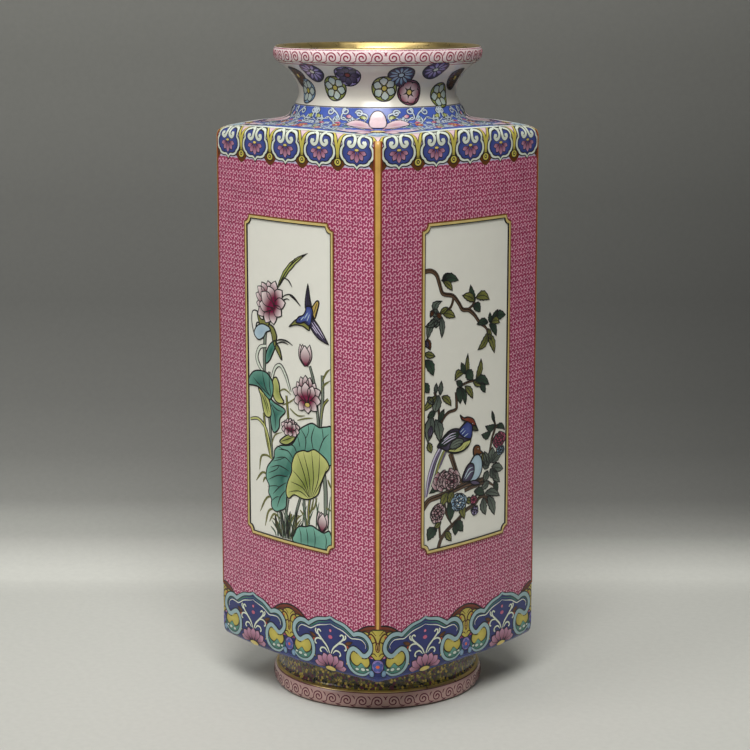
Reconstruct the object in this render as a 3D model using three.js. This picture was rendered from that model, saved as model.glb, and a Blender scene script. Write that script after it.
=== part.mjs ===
// Square porcelain vase on a round foot, with a round flared neck.
//
// A vase of this shape is not thrown in one piece. Four walls are pressed in a mould and
// luted (glued with liquid clay) along their mitred corners, a pressed shoulder and a base
// close the two ends, and a thrown neck and a thrown foot ring are luted on. Strips of clay
// are worked into the seams on the inside. Each of those pieces is one mesh here.
//
// Millimetres, +Z up, origin at the middle of the foot's underside. The walls face +X, -X,
// +Y and -Y, so the corners lie on the diagonals.

import * as THREE from "three";

// Driving dimensions
const HEIGHT = 320; // foot to lip
const HALF_CHORD = 56; // axis to a corner, measured along X or Y, if the corner were sharp
const BULGE = 5.2; // how far the middle of a wall stands out from the line between its corners
const CORNER_RADIUS = 3.2; // outside rounding of the four upright corners
const INNER_CORNER_RADIUS = 0.8;
const WALL = 5; // thickness of the pressed walls
const EDGE_ROUNDING = 5; // rounding where the shoulder turns down into the walls

// Heights of the seams
const FOOT_TOP = 20; // the base sits on the foot ring here
const BASE_SEAM = 27; // walls stand on the base here
const SHOULDER_SEAM = 272; // shoulder sits on the walls here
const NECK_SEAM = 288.5; // neck sits on the shoulder here
const NECK_SEAT_OUTER = 42;
const NECK_SEAT_INNER = 37.6;

// How finely the round stretches are divided
const ARC_STEPS = 5; // from the middle of a wall to its corner rounding
const CORNER_STEPS = 2; // from there to the diagonal
const LATHE_STEPS = 56;

// Colours of the fired pieces, under the painted decoration
const GLAZE = { color: 0xf1efe8, roughness: 0.12, metalness: 0 };
const BISCUIT = { color: 0xe6e1d6, roughness: 0.6, metalness: 0 };

const FACE_RADIUS = (HALF_CHORD ** 2 + BULGE ** 2) / (2 * BULGE);
const FACE_CENTRE = HALF_CHORD + BULGE - FACE_RADIUS; // centre of the +X wall's arc, on X

const vase = new THREE.Group();

function addPiece(name, geometry, finish) {
  const mesh = new THREE.Mesh(geometry, new THREE.MeshStandardMaterial(finish));
  mesh.name = name;
  vase.add(mesh);
}

// ---------------------------------------------------------------- plan outline of the body

// Half of the +X wall's edge, from its middle to the diagonal, set in by a distance.
function halfWallEdge(inset) {
  const face = FACE_RADIUS - inset;
  const corner = Math.max(CORNER_RADIUS - inset, INNER_CORNER_RADIUS);
  const reach = face - corner;
  const middle = (FACE_CENTRE + Math.sqrt(2 * reach ** 2 - FACE_CENTRE ** 2)) / 2;
  const tangent = Math.atan2(middle, middle - FACE_CENTRE);
  const points = [];
  for (let i = 0; i <= ARC_STEPS; i += 1) {
    const angle = (tangent * i) / ARC_STEPS;
    points.push(new THREE.Vector2(FACE_CENTRE + face * Math.cos(angle), face * Math.sin(angle)));
  }
  for (let i = 1; i < CORNER_STEPS; i += 1) {
    const angle = tangent + ((Math.PI / 4 - tangent) * i) / CORNER_STEPS;
    points.push(
      new THREE.Vector2(middle + corner * Math.cos(angle), middle + corner * Math.sin(angle)),
    );
  }
  const diagonal = middle + corner * Math.SQRT1_2;
  points.push(new THREE.Vector2(diagonal, diagonal));
  return points;
}

// The whole edge of the +X wall, from the -45 degree diagonal to the +45 degree one.
function wallEdge(inset) {
  const upper = halfWallEdge(inset);
  const lower = upper
    .slice(1)
    .reverse()
    .map((p) => new THREE.Vector2(p.x, -p.y));
  return [...lower, ...upper];
}

// A quarter turn about Z keeps the numbers exact, so mitred faces meet with no gap.
function quarterTurns(point, turns) {
  let { x, y } = point;
  for (let i = 0; i < turns; i += 1) {
    [x, y] = [-y, x];
  }
  return new THREE.Vector2(x, y);
}

// The closed outline of the body, counter-clockwise, one corner point per diagonal.
function bodyOutline(inset) {
  const edge = wallEdge(inset).slice(0, -1);
  return [0, 1, 2, 3].flatMap((turns) => edge.map((p) => quarterTurns(p, turns)));
}

// ---------------------------------------------------------------- shapes made of rings

const atHeight = (outline, z) => outline.map((p) => new THREE.Vector3(p.x, p.y, z));

// Joins closed rings of equally many points. The rings run up the outside and back down
// the inside, or end in a point on the axis at each end.
function skin(rings, { firstPole, lastPole } = {}) {
  const count = rings[0].length;
  const points = rings.flat();
  const triangles = [];
  const quads = (from, to) => {
    for (let i = 0; i < count; i += 1) {
      const j = (i + 1) % count;
      triangles.push(from + i, from + j, to + j, from + i, to + j, to + i);
    }
  };
  for (let r = 0; r + 1 < rings.length; r += 1) {
    quads(r * count, (r + 1) * count);
  }
  if (firstPole === undefined) {
    quads((rings.length - 1) * count, 0);
  } else {
    const start = points.push(new THREE.Vector3(0, 0, firstPole)) - 1;
    const end = points.push(new THREE.Vector3(0, 0, lastPole)) - 1;
    const last = (rings.length - 1) * count;
    for (let i = 0; i < count; i += 1) {
      const j = (i + 1) % count;
      triangles.push(start, j, i);
      triangles.push(end, last + i, last + j);
    }
  }
  const geometry = new THREE.BufferGeometry().setFromPoints(points);
  geometry.setIndex(triangles);
  geometry.computeVertexNormals();
  return geometry;
}

const flat = (pairs) => pairs.map(([r, z]) => new THREE.Vector2(r, z));

// A smooth curve through a few [radius, height] points.
const curve = (pairs, steps) => new THREE.SplineCurve(flat(pairs)).getPoints(steps);

// A thrown ring: the profile is turned about Z and closes on itself.
function thrown(profile) {
  const closed = [...profile, profile[0]];
  const geometry = new THREE.LatheGeometry(closed, LATHE_STEPS);
  return geometry.rotateX(Math.PI / 2);
}

// Height of a curve of [distance, height] points at a distance from the axis.
function heightAt(points, distance) {
  const next = points.findIndex(([d]) => d >= distance);
  if (next <= 0) {
    return points[next === 0 ? 0 : points.length - 1][1];
  }
  const [d0, z0] = points[next - 1];
  const [d1, z1] = points[next];
  return z0 + ((z1 - z0) * (distance - d0)) / (d1 - d0);
}

// ---------------------------------------------------------------- walls

function wall(turns) {
  const outer = wallEdge(0);
  const inner = wallEdge(WALL).reverse();
  const section = new THREE.Shape([...outer, ...inner].map((p) => quarterTurns(p, turns)));
  const depth = SHOULDER_SEAM - BASE_SEAM;
  const geometry = new THREE.ExtrudeGeometry(section, { depth, bevelEnabled: false });
  return geometry.translate(0, 0, BASE_SEAM);
}

["wall_right", "wall_back", "wall_left", "wall_front"].forEach((name, turns) => {
  addPiece(name, wall(turns), GLAZE);
});

// ---------------------------------------------------------------- shoulder

// A very flat dome: the same height at the same distance from the axis, so the edge that
// it makes with a wall is highest in the middle and drops towards the corners.
const DOME_TOP = [
  [NECK_SEAT_OUTER, NECK_SEAM],
  [42.6, 287],
  [43.9, 285.7],
  [46, 284.8],
  [50, 284],
  [60, 282.6],
  [80, 279.8],
];
const DOME_UNDERSIDE = [
  [NECK_SEAT_INNER, NECK_SEAM],
  [38, 284],
  [39.6, 281.4],
  [42.5, 280],
  [47, 279.1],
  [60, 277.4],
  [80, 274.8],
];
const DOME_STEPS = [1, 0.72, 0.46, 0.25, 0.12, 0.055, 0.02, 0];
const SKIRT_TOP = 274;

// A ring part way between the body's outline and the round neck seat, lying on the dome.
function domeRing(outline, share, seat, heights) {
  return outline.map((p) => {
    const reach = p.length();
    const distance = seat + (reach - seat) * share;
    const at = p.clone().multiplyScalar(distance / reach);
    return new THREE.Vector3(at.x, at.y, heightAt(heights, distance));
  });
}

function shoulder() {
  const outline = bodyOutline(0);
  const topEdge = bodyOutline(EDGE_ROUNDING);
  const inside = bodyOutline(WALL);
  const underEdge = bodyOutline(WALL + 2);
  const dome = DOME_STEPS.map((s) => domeRing(topEdge, s, NECK_SEAT_OUTER, DOME_TOP));
  const rounding = [0, 0.25, 0.5, 0.75].map((share) => {
    const turn = (share * Math.PI) / 2;
    const ring = bodyOutline(EDGE_ROUNDING * (1 - Math.cos(turn)));
    const drop = EDGE_ROUNDING * (1 - Math.sin(turn));
    return ring.map((p, i) => new THREE.Vector3(p.x, p.y, dome[0][i].z - drop));
  });
  const under = DOME_STEPS.map((s) => domeRing(underEdge, s, NECK_SEAT_INNER, DOME_UNDERSIDE));
  return skin([
    atHeight(outline, SHOULDER_SEAM),
    ...rounding,
    ...dome,
    ...under.reverse(),
    atHeight(inside, SKIRT_TOP),
    atHeight(inside, SHOULDER_SEAM),
  ]);
}

addPiece("shoulder", shoulder(), GLAZE);

// ---------------------------------------------------------------- base

// A flat plate whose lower edge curls in under the walls, thinnest over the foot.
const BASE_EDGE = [
  // [inset from the walls' outside, height]
  [0, BASE_SEAM],
  [0.25, 25.2],
  [1.2, 23.4],
  [2.7, 22.3],
  [5, 21.7],
  [9, 21.3],
];
const FOOT_SEAT = 53; // the underside is flat inside this radius

function base() {
  const edge = BASE_EDGE.map(([inset, z]) => atHeight(bodyOutline(inset), z));
  const seat = bodyOutline(0).map((p) => {
    const at = p.clone().setLength(FOOT_SEAT);
    return new THREE.Vector3(at.x, at.y, FOOT_TOP);
  });
  return skin([seat, ...edge.reverse()], { firstPole: FOOT_TOP, lastPole: BASE_SEAM });
}

addPiece("base_plate", base(), GLAZE);

// ---------------------------------------------------------------- neck and foot, thrown

const NECK_OUTSIDE = [
  [NECK_SEAT_OUTER, NECK_SEAM],
  [40.4, 291.8],
  [38.7, 295.4],
  [38.4, 298.2],
  [39.3, 302],
  [42.4, 307.2],
  [47.1, 311],
];
const LIP = [
  [49.5, 313],
  [50.5, 315.2],
  [50.6, 317.4],
  [49.9, 319.2],
  [48.4, HEIGHT],
  [47, 319.4],
];
const NECK_INSIDE = [
  [45.6, 317.4],
  [42.6, 312.4],
  [38.6, 307],
  [35.2, 301.6],
  [34.2, 297.6],
  [35, 293.4],
  [NECK_SEAT_INNER, NECK_SEAM],
];
const neckProfile = [...curve(NECK_OUTSIDE, 12), ...curve(LIP, 10), ...curve(NECK_INSIDE, 10)];
addPiece("neck", thrown(neckProfile), GLAZE);

const FOOT_REST = [
  [46.4, 0],
  [49.2, 0],
];
const FOOT_FLANGE = [
  [51.2, 0],
  [52.4, 1.3],
  [53, 4.2],
  [52.7, 6.8],
  [51.6, 8.7],
];
const FOOT_NECK = [
  [50.4, 9.2],
  [49.4, 10.4],
  [48.9, 13],
  [48.9, 16.4],
  [49.6, FOOT_TOP],
];
const FOOT_INSIDE = [
  [43.6, FOOT_TOP],
  [43.8, 12],
  [44.6, 3.2],
  [45.4, 0.8],
];
const footProfile = [
  ...flat(FOOT_REST),
  ...curve(FOOT_FLANGE, 7),
  ...curve(FOOT_NECK, 6),
  ...curve(FOOT_INSIDE, 4),
];
addPiece("foot_ring", thrown(footProfile), GLAZE);

// ---------------------------------------------------------------- clay worked into the seams

const BASE_STRIP = 6; // leg of the strip along the base seam
const BASE_STRIP_HOLLOW = 0.35; // its face is hollow: share of the leg left in the middle
const SHOULDER_STRIP = { below: 5, above: 2, proud: 3, proudest: 1 };
const CORNER_STRIP_REACH = 3; // steps of each wall's inside that a corner strip covers

// A strip that runs round the whole inside: rings given as [inset, height].
function seamStrip(rings) {
  return skin(rings.map(([inset, z]) => atHeight(bodyOutline(inset), z)));
}

addPiece(
  "base_seam_strip",
  seamStrip([
    [WALL, BASE_SEAM],
    [WALL, BASE_SEAM + BASE_STRIP],
    [WALL + BASE_STRIP * BASE_STRIP_HOLLOW, BASE_SEAM + BASE_STRIP * BASE_STRIP_HOLLOW],
    [WALL + BASE_STRIP, BASE_SEAM],
  ]),
  BISCUIT,
);

addPiece(
  "shoulder_seam_strip",
  seamStrip([
    [WALL, SHOULDER_SEAM - SHOULDER_STRIP.below],
    [WALL, SHOULDER_SEAM],
    [WALL, SHOULDER_SEAM + SHOULDER_STRIP.above],
    [WALL + SHOULDER_STRIP.proud, SHOULDER_SEAM - SHOULDER_STRIP.proudest],
  ]),
  BISCUIT,
);

// An upright strip in the corner between the +X and +Y walls, turned to the other corners.
function cornerStrip(turns) {
  const inside = halfWallEdge(WALL).slice(-CORNER_STRIP_REACH - 1);
  const mirrored = inside
    .slice(0, -1)
    .reverse()
    .map((p) => new THREE.Vector2(p.y, p.x));
  const betweenEnds = inside[0].clone().lerp(mirrored.at(-1), 0.5);
  const hollow = betweenEnds.lerp(inside.at(-1), 0.5);
  const outline = [...inside, ...mirrored, hollow].map((p) => quarterTurns(p, turns));
  const bottom = BASE_SEAM + BASE_STRIP;
  const depth = SHOULDER_SEAM - SHOULDER_STRIP.below - bottom;
  const section = new THREE.Shape(outline);
  const geometry = new THREE.ExtrudeGeometry(section, { depth, bevelEnabled: false });
  return geometry.translate(0, 0, bottom);
}

["back_right", "back_left", "front_left", "front_right"].forEach((corner, turns) => {
  addPiece(`corner_seam_strip_${corner}`, cornerStrip(turns), BISCUIT);
});

export default vase;
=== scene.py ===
# %% [markdown]
# # A square porcelain vase, painted all over
# A square vase is built from pressed slabs and thrown rings, glazed white and fired, and then
# painted with coloured enamels and gold and fired again. This file follows the same order:
# the white body first, then the coloured grounds, then the borders and the pictures.
# Every size is in metres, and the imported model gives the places.

import math

import bpy
import numpy as np
from mathutils import Matrix, Vector


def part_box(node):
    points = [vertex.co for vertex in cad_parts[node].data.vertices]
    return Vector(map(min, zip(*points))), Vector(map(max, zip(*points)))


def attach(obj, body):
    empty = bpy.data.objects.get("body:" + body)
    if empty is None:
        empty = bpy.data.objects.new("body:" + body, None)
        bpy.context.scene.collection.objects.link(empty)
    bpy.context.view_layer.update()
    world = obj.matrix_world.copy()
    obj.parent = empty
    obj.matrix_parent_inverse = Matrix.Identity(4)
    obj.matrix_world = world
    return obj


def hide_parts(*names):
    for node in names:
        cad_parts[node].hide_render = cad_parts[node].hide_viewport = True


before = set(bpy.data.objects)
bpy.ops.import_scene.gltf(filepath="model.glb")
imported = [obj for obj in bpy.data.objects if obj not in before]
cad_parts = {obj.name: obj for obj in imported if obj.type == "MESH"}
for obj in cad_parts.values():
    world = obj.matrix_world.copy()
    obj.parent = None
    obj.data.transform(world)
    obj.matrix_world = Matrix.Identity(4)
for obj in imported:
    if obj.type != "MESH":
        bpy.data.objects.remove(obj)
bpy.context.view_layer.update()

# %% [markdown]
# ## The body's plan
# Seen from above, each wall is a flat arc, and a small round joins it to the next wall. The same
# numbers then place everything that is painted on the walls, so they are worked out once, from
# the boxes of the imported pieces.

# %% Sizes and the outline of the body
MM = 0.001
HALF_CHORD = 56 * MM
WALL_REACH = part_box("wall_right")[1].x
BULGE = WALL_REACH - HALF_CHORD
CORNER_RADIUS = 3.2 * MM
INNER_CORNER_RADIUS = 0.8 * MM
WALL = 5 * MM
EDGE_ROUNDING = 5 * MM
FACE_RADIUS = (HALF_CHORD**2 + BULGE**2) / (2 * BULGE)
FACE_CENTRE = WALL_REACH - FACE_RADIUS
QUARTER = math.pi / 2

BASE_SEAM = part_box("wall_right")[0].z
SHOULDER_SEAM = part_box("wall_right")[1].z
NECK_SEAM, LIP = (corner.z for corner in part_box("neck"))
FOOT_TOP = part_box("foot_ring")[1].z


def corner_arc(inset):
    """The rounding between two walls: its centre's X and Y, its radius, and where the wall meets it."""
    corner = np.maximum(CORNER_RADIUS - inset, INNER_CORNER_RADIUS)
    reach = FACE_RADIUS - inset - corner
    centre = (FACE_CENTRE + np.sqrt(2 * reach**2 - FACE_CENTRE**2)) / 2
    return centre, corner, np.arctan2(centre, centre - FACE_CENTRE)


def half_wall(inset, arc_steps, corner_steps):
    """Points from the middle of the +X wall to the corner's diagonal."""
    centre, corner, tangent = corner_arc(inset)
    face = FACE_RADIUS - inset
    points = []
    for step in range(arc_steps + 1):
        angle = tangent * step / arc_steps
        points.append((FACE_CENTRE + face * math.cos(angle), face * math.sin(angle)))
    for step in range(1, corner_steps + 1):
        angle = tangent + (math.pi / 4 - tangent) * step / corner_steps
        points.append((centre + corner * math.cos(angle), centre + corner * math.sin(angle)))
    return points


def wall_line(inset, arc_steps=14, corner_steps=4):
    """Points along the whole +X wall, from one diagonal to the other."""
    upper = half_wall(inset, arc_steps, corner_steps)
    lower = [(x, -y) for x, y in reversed(upper[1:])]
    return lower + upper


def turned_quarters(points, turns):
    for _ in range(turns):
        points = [(-y, x) for x, y in points]
    return points


def body_line(inset):
    """The body's closed outline, set in from the outside."""
    side = wall_line(inset)[:-1]
    return [p for turns in range(4) for p in turned_quarters(side, turns)]


print("wall radius", round(FACE_RADIUS, 4), "outline points", len(body_line(0)))

# %% [markdown]
# ## Helpers for modelling
# Two shapes cover the whole body. A turned piece is a closed profile spun about the axis, as on a
# potter's wheel. A built piece is a grid whose rows are moved to rings that follow the body's
# outline, and whose ends are merged. Both end as clean closed shells with their faces outward.


# %% Modelling helpers
def edit(piece):
    bpy.ops.object.select_all(action="DESELECT")
    piece.select_set(True)
    bpy.context.view_layer.objects.active = piece
    bpy.ops.object.mode_set(mode="EDIT")
    bpy.ops.mesh.select_all(action="SELECT")


def close_up(piece, smooth_angle=35):
    """Merges doubles, turns the faces outward and smooths the shading."""
    edit(piece)
    bpy.ops.mesh.remove_doubles(threshold=0.002 * MM)
    bpy.ops.mesh.normals_make_consistent(inside=False)
    bpy.ops.object.mode_set(mode="OBJECT")
    bpy.ops.object.shade_smooth_by_angle(angle=math.radians(smooth_angle))


def moved_grid(name, rows):
    """A grid primitive whose rows of points are moved to the given rows."""
    bpy.ops.object.select_all(action="DESELECT")
    across = len(rows[0])
    bpy.ops.mesh.primitive_grid_add(x_subdivisions=across - 1, y_subdivisions=len(rows) - 1)
    piece = bpy.context.active_object
    piece.name = piece.data.name = name
    piece.data.vertices.foreach_set("co", np.array(rows, float).ravel())
    return piece


def built(name, rings, fill_ends=False):
    """A closed shell through rings of points [(x, y, z), ...]."""
    piece = moved_grid(name, [ring + ring[:1] for ring in rings])
    close_up(piece)
    if fill_ends:
        edit(piece)
        bpy.ops.mesh.select_all(action="DESELECT")
        bpy.ops.mesh.select_non_manifold()
        bpy.ops.mesh.fill_holes(sides=0)
        bpy.ops.object.mode_set(mode="OBJECT")
        close_up(piece)
    return piece


def turned(name, profile, steps=160):
    """A closed profile of (radius, height) points spun about Z."""
    bpy.ops.object.select_all(action="DESELECT")
    bpy.ops.mesh.primitive_circle_add(vertices=len(profile))
    piece = bpy.context.active_object
    piece.name = piece.data.name = name
    piece.data.vertices.foreach_set("co", np.array([(r, 0, z) for r, z in profile], float).ravel())
    edit(piece)
    bpy.ops.mesh.spin(steps=steps, angle=2 * math.pi, center=(0, 0, 0), axis=(0, 0, 1))
    bpy.ops.object.mode_set(mode="OBJECT")
    close_up(piece)
    return piece


def through(points, steps=6, closed=False):
    """A smooth line through a few points. A point given twice is a sharp corner."""
    points = [np.array(p, float) for p in points]
    count = len(points)
    line = []
    for i in range(count if closed else count - 1):
        near = [(i + k) % count if closed else min(max(i + k, 0), count - 1) for k in (-1, 0, 1, 2)]
        before, start, end, after = (points[k] for k in near)
        if np.allclose(start, end):
            continue
        slope = end - before
        bend = 2 * before - 5 * start + 4 * end - after
        twist = 3 * start - before - 3 * end + after
        for step in range(steps):
            t = step / steps
            line.append(0.5 * (2 * start + slope * t + bend * t**2 + twist * t**3))
    if not closed:
        line.append(points[-1])
    return np.array(line)


def finish_piece(piece, slot, *nodes):
    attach(piece, "root")
    if nodes:
        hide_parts(*nodes)
    print(piece.name, len(piece.data.polygons), "faces")
    return piece


# %% [markdown]
# ## Enamel and glaze
# Enamel on porcelain is glass coloured with metal oxides. It pools a little, so its colour and its
# gloss vary softly, and its surface is never quite flat. One node group gives all three, and each
# pigment is a material that sets the group's colours. A point attribute called shade carries the
# painter's wash: 0 keeps the first colour and 1 gives the second.


# %% Node helpers and the glaze group
def srgb(red, green, blue):
    """A colour given as 0 to 255, as a linear one."""
    values = (c / 255 for c in (red, green, blue))
    return tuple(c / 12.92 if c <= 0.04045 else ((c + 0.055) / 1.055) ** 2.4 for c in values) + (1.0,)


def feed(tree, socket, value):
    """Links another node's output to a socket, or gives the socket a fixed value."""
    if isinstance(value, bpy.types.NodeSocket):
        tree.links.new(value, socket)
    else:
        socket.default_value = value


def feed_by_name(tree, made, **values):
    for name, value in values.items():
        feed(tree, made.inputs[name.replace("_", " ")], value)


def node(tree, kind, **values):
    """A new node. Each value is one of its settings, or feeds the input of that name."""
    made = tree.nodes.new(kind)
    for name in [name for name in values if hasattr(made, name)]:
        setattr(made, name, values.pop(name))
    feed_by_name(tree, made, **values)
    return made


def maths(tree, operation, *values, clamp=False):
    made = node(tree, "ShaderNodeMath", operation=operation, use_clamp=clamp)
    for socket, value in zip(made.inputs, values):
        feed(tree, socket, value)
    return made.outputs[0]


def vector_maths(tree, operation, *values, output=0):
    made = node(tree, "ShaderNodeVectorMath", operation=operation)
    for socket, value in zip(made.inputs, values):
        feed(tree, socket, value)
    return made.outputs[output]


def scaled(tree, vector, size):
    return node(tree, "ShaderNodeVectorMath", operation="SCALE", Vector=vector, Scale=size).outputs[0]


def mixed(tree, factor, first, second):
    made = node(tree, "ShaderNodeMix", data_type="RGBA", clamp_factor=True)
    for socket, value in zip((made.inputs[0], made.inputs[6], made.inputs[7]), (factor, first, second)):
        feed(tree, socket, value)
    return made.outputs[2]


def object_place(tree):
    return node(tree, "ShaderNodeTexCoord").outputs["Object"]


def ramp(tree, value, stops, interpolation="LINEAR"):
    """Colours picked by a value. Each stop is the value where it starts, and its colour."""
    made = node(tree, "ShaderNodeValToRGB", Fac=value)
    elements = made.color_ramp.elements
    made.color_ramp.interpolation = interpolation
    while len(elements) < len(stops):
        elements.new(0.5)
    for element, (position, colour) in zip(elements, stops):
        element.position = position
        element.color = colour
    return made.outputs[0]


def new_group(name, inputs, outputs):
    group = bpy.data.node_groups.new(name, "ShaderNodeTree")
    for socket, kind, value in inputs:
        made = group.interface.new_socket(name=socket, in_out="INPUT", socket_type=f"NodeSocket{kind}")
        made.default_value = value
    for socket, kind in outputs:
        group.interface.new_socket(name=socket, in_out="OUTPUT", socket_type=f"NodeSocket{kind}")
    return group, group.nodes.new("NodeGroupInput").outputs, group.nodes.new("NodeGroupOutput")


def make_enamel_group():
    group, given, out = new_group(
        "enamel_wash",
        [
            ("Colour", "Color", (0.8, 0.8, 0.8, 1)),
            ("Deep Colour", "Color", (0.5, 0.5, 0.5, 1)),
            ("Shade", "Float", 0.0),
            ("Mottle", "Float", 0.12),
            ("Gloss", "Float", 0.12),
        ],
        [("Colour", "Color"), ("Roughness", "Float"), ("Height", "Float")],
    )
    place = object_place(group)
    clouds = node(group, "ShaderNodeTexNoise", Vector=place, Scale=160.0, Detail=3.0,
        Roughness=0.6).outputs[0]
    ripples = node(group, "ShaderNodeTexNoise", Vector=place, Scale=900.0, Detail=2.0,
        Roughness=0.5).outputs[0]
    washed = mixed(group, given["Shade"], given["Colour"], given["Deep Colour"])
    uneven = maths(group, "MULTIPLY", maths(group, "SUBTRACT", clouds, 0.5), given["Mottle"])
    light = maths(group, "ADD", 1.0, maths(group, "MULTIPLY", uneven, 3.0))
    rough = maths(group, "ADD", given["Gloss"], maths(group, "MULTIPLY", ripples, 0.08))
    height = maths(group, "ADD", ripples, clouds)
    feed_by_name(group, out, Colour=scaled(group, washed, light), Roughness=rough, Height=height)
    return group


ENAMEL_GROUP = make_enamel_group()
SHEEN = 0.3
COAT_ROUGHNESS = 0.1


def shader_of(name):
    material = bpy.data.materials.new(name)
    material.use_nodes = True
    return material, material.node_tree, material.node_tree.nodes["Principled BSDF"]


def bump(tree, shader, height, distance, strength=0.3):
    made = node(tree, "ShaderNodeBump", Strength=strength, Distance=distance, Height=height)
    feed(tree, shader.inputs["Normal"], made.outputs[0])


def wash_over(tree, shader, coat, **values):
    """Puts the enamel group on a shader, and gives back the group's outputs."""
    wash = node(tree, "ShaderNodeGroup", node_tree=ENAMEL_GROUP)
    feed_by_name(tree, wash, **values)
    feed_by_name(tree, shader, Base_Color=wash.outputs["Colour"], Roughness=wash.outputs["Roughness"])
    feed_by_name(tree, shader, Specular_IOR_Level=SHEEN, Coat_Weight=coat, Coat_Roughness=COAT_ROUGHNESS)
    return wash.outputs


def enamel(name, colour, deep=None, mottle=0.12, gloss=0.16, coat=0.12):
    """A pigment under clear glass, washed from colour to deep by the point attribute shade.

    Both colours are given as red, green and blue from 0 to 255.
    """
    material, tree, shader = shader_of(name)
    shade = node(tree, "ShaderNodeAttribute", attribute_name="shade").outputs["Fac"]
    colours = {"Colour": srgb(*colour), "Deep_Colour": srgb(*(deep or colour))}
    wash = wash_over(tree, shader, coat, Shade=shade, Mottle=mottle, Gloss=gloss, **colours)
    bump(tree, shader, wash["Height"], 0.02 * MM)
    return material


WHITE_GLAZE = enamel("white_glaze", (226, 221, 206), mottle=0.02, gloss=0.16, coat=0.25)
PICTURE_WHITE = enamel("picture_white", (240, 238, 226), mottle=0.015, gloss=0.1)
LUTING_CLAY = enamel("luting_clay", (226, 221, 208), (200, 192, 176), mottle=0.1, gloss=0.35, coat=0.1)
PINK_BAND = enamel("pink_band", (244, 222, 222), mottle=0.05)
CRIMSON = enamel("crimson", (150, 42, 72), mottle=0.2)
PLUM = enamel("plum_line", (104, 46, 62), mottle=0.2)
BLUE = enamel("cobalt_blue", (66, 84, 158), (120, 140, 205), mottle=0.18)
SKY_BLUE = enamel("cornflower_blue", (76, 100, 182), mottle=0.15)
AQUA = enamel("pale_aqua", (156, 184, 188), mottle=0.06)
INK = enamel("ink", (24, 20, 22), mottle=0.05, gloss=0.4, coat=0.0)
RUST = enamel("rust_red", (140, 62, 40), (96, 44, 26), mottle=0.2)


def gold(name, colour, roughness):
    """Fired gold: metal, rubbed a little dull, with fine brush marks in its height."""
    material, tree, shader = shader_of(name)
    place = object_place(tree)
    wear = node(tree, "ShaderNodeTexNoise", Vector=place, Scale=240.0, Detail=4.0,
        Roughness=0.65).outputs[0]
    dull = tuple(c * 0.62 for c in colour[:3]) + (1.0,)
    rough = maths(tree, "ADD", maths(tree, "MULTIPLY", wear, 0.2), roughness - 0.1)
    feed_by_name(tree, shader, Base_Color=mixed(tree, wear, dull, colour), Roughness=rough, Metallic=1.0)
    bump(tree, shader, wear, 0.02 * MM, 0.25)
    return material


GOLD = gold("fired_gold", srgb(244, 214, 142), 0.3)
FRAME_GOLD = enamel("frame_gold", (214, 192, 124), (170, 130, 66), mottle=0.15)

# %% [markdown]
# ## The rose ground
# The walls carry a fine net of pale three-armed hooks on rose red, drawn with a needle. There are
# thousands, so this one is a shader: space is folded into the cells of a triangular net, and in
# each cell the distance to three hooked arms gives the line.


# %% Rose ground material
HOOK_PITCH = 3.0 * MM
# the rest is in pitches, and the turn in radians
HOOK_TURN = 0.38
ARM_LENGTH = 0.42
HOOK_LENGTH = 0.3
HOOK_LINE = 0.11


def nearest_cell(tree, flat):
    """Place inside the nearest cell of a triangular net, in pitches."""
    size = Vector((1, math.sqrt(3), 1))
    candidates = []
    for shift in (0.0, 0.5):
        moved = vector_maths(tree, "ADD", flat, shift * size)
        wrapped = vector_maths(tree, "WRAP", moved, size / 2, -size / 2)
        candidates.append((wrapped, vector_maths(tree, "LENGTH", wrapped, output="Value")))
    (first, first_length), (second, second_length) = candidates
    choose = node(tree, "ShaderNodeMix", data_type="VECTOR")
    feed(tree, choose.inputs[0], maths(tree, "GREATER_THAN", first_length, second_length))
    feed(tree, choose.inputs[4], first)
    feed(tree, choose.inputs[5], second)
    return choose.outputs[1]


def distance_to_stretch(tree, along, across, length):
    """Distance to a straight stretch that starts at the middle and lies along one direction."""
    from_middle = maths(tree, "ABSOLUTE", maths(tree, "SUBTRACT", along, length / 2))
    outside = maths(tree, "MAXIMUM", maths(tree, "SUBTRACT", from_middle, length / 2), 0.0)
    squares = [maths(tree, "MULTIPLY", value, value) for value in (outside, across)]
    return maths(tree, "SQRT", maths(tree, "ADD", *squares))


def make_hook_group():
    group, given, out = new_group(
        "hooked_net",
        [("Flat Place", "Vector", (0, 0, 0)), ("Pitch", "Float", HOOK_PITCH),
            ("Line Width", "Float", HOOK_LINE)],
        [("Line", "Float")],
    )
    in_pitches = scaled(group, given["Flat Place"], maths(group, "DIVIDE", 1.0, given["Pitch"]))
    x, y, _ = node(group, "ShaderNodeSeparateXYZ", Vector=nearest_cell(group, in_pitches)).outputs
    angle = maths(group, "SUBTRACT", maths(group, "ARCTAN2", y, x), QUARTER + HOOK_TURN)
    half_third = math.pi / 3
    folded = maths(group, "WRAP", angle, half_third, -half_third)
    squares = [maths(group, "MULTIPLY", value, value) for value in (x, y)]
    radius = maths(group, "SQRT", maths(group, "ADD", *squares))
    along = maths(group, "MULTIPLY", radius, maths(group, "COSINE", folded))
    across = maths(group, "MULTIPLY", radius, maths(group, "SINE", folded))
    arm = distance_to_stretch(group, along, across, ARM_LENGTH)
    hook = distance_to_stretch(group, across, maths(group, "SUBTRACT", along, ARM_LENGTH), HOOK_LENGTH)
    edge = maths(group, "SUBTRACT", given["Line Width"], maths(group, "MINIMUM", arm, hook))
    feed_by_name(group, out, Line=maths(group, "MULTIPLY", edge, 12.0, clamp=True))
    return group


HOOK_GROUP = make_hook_group()


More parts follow.
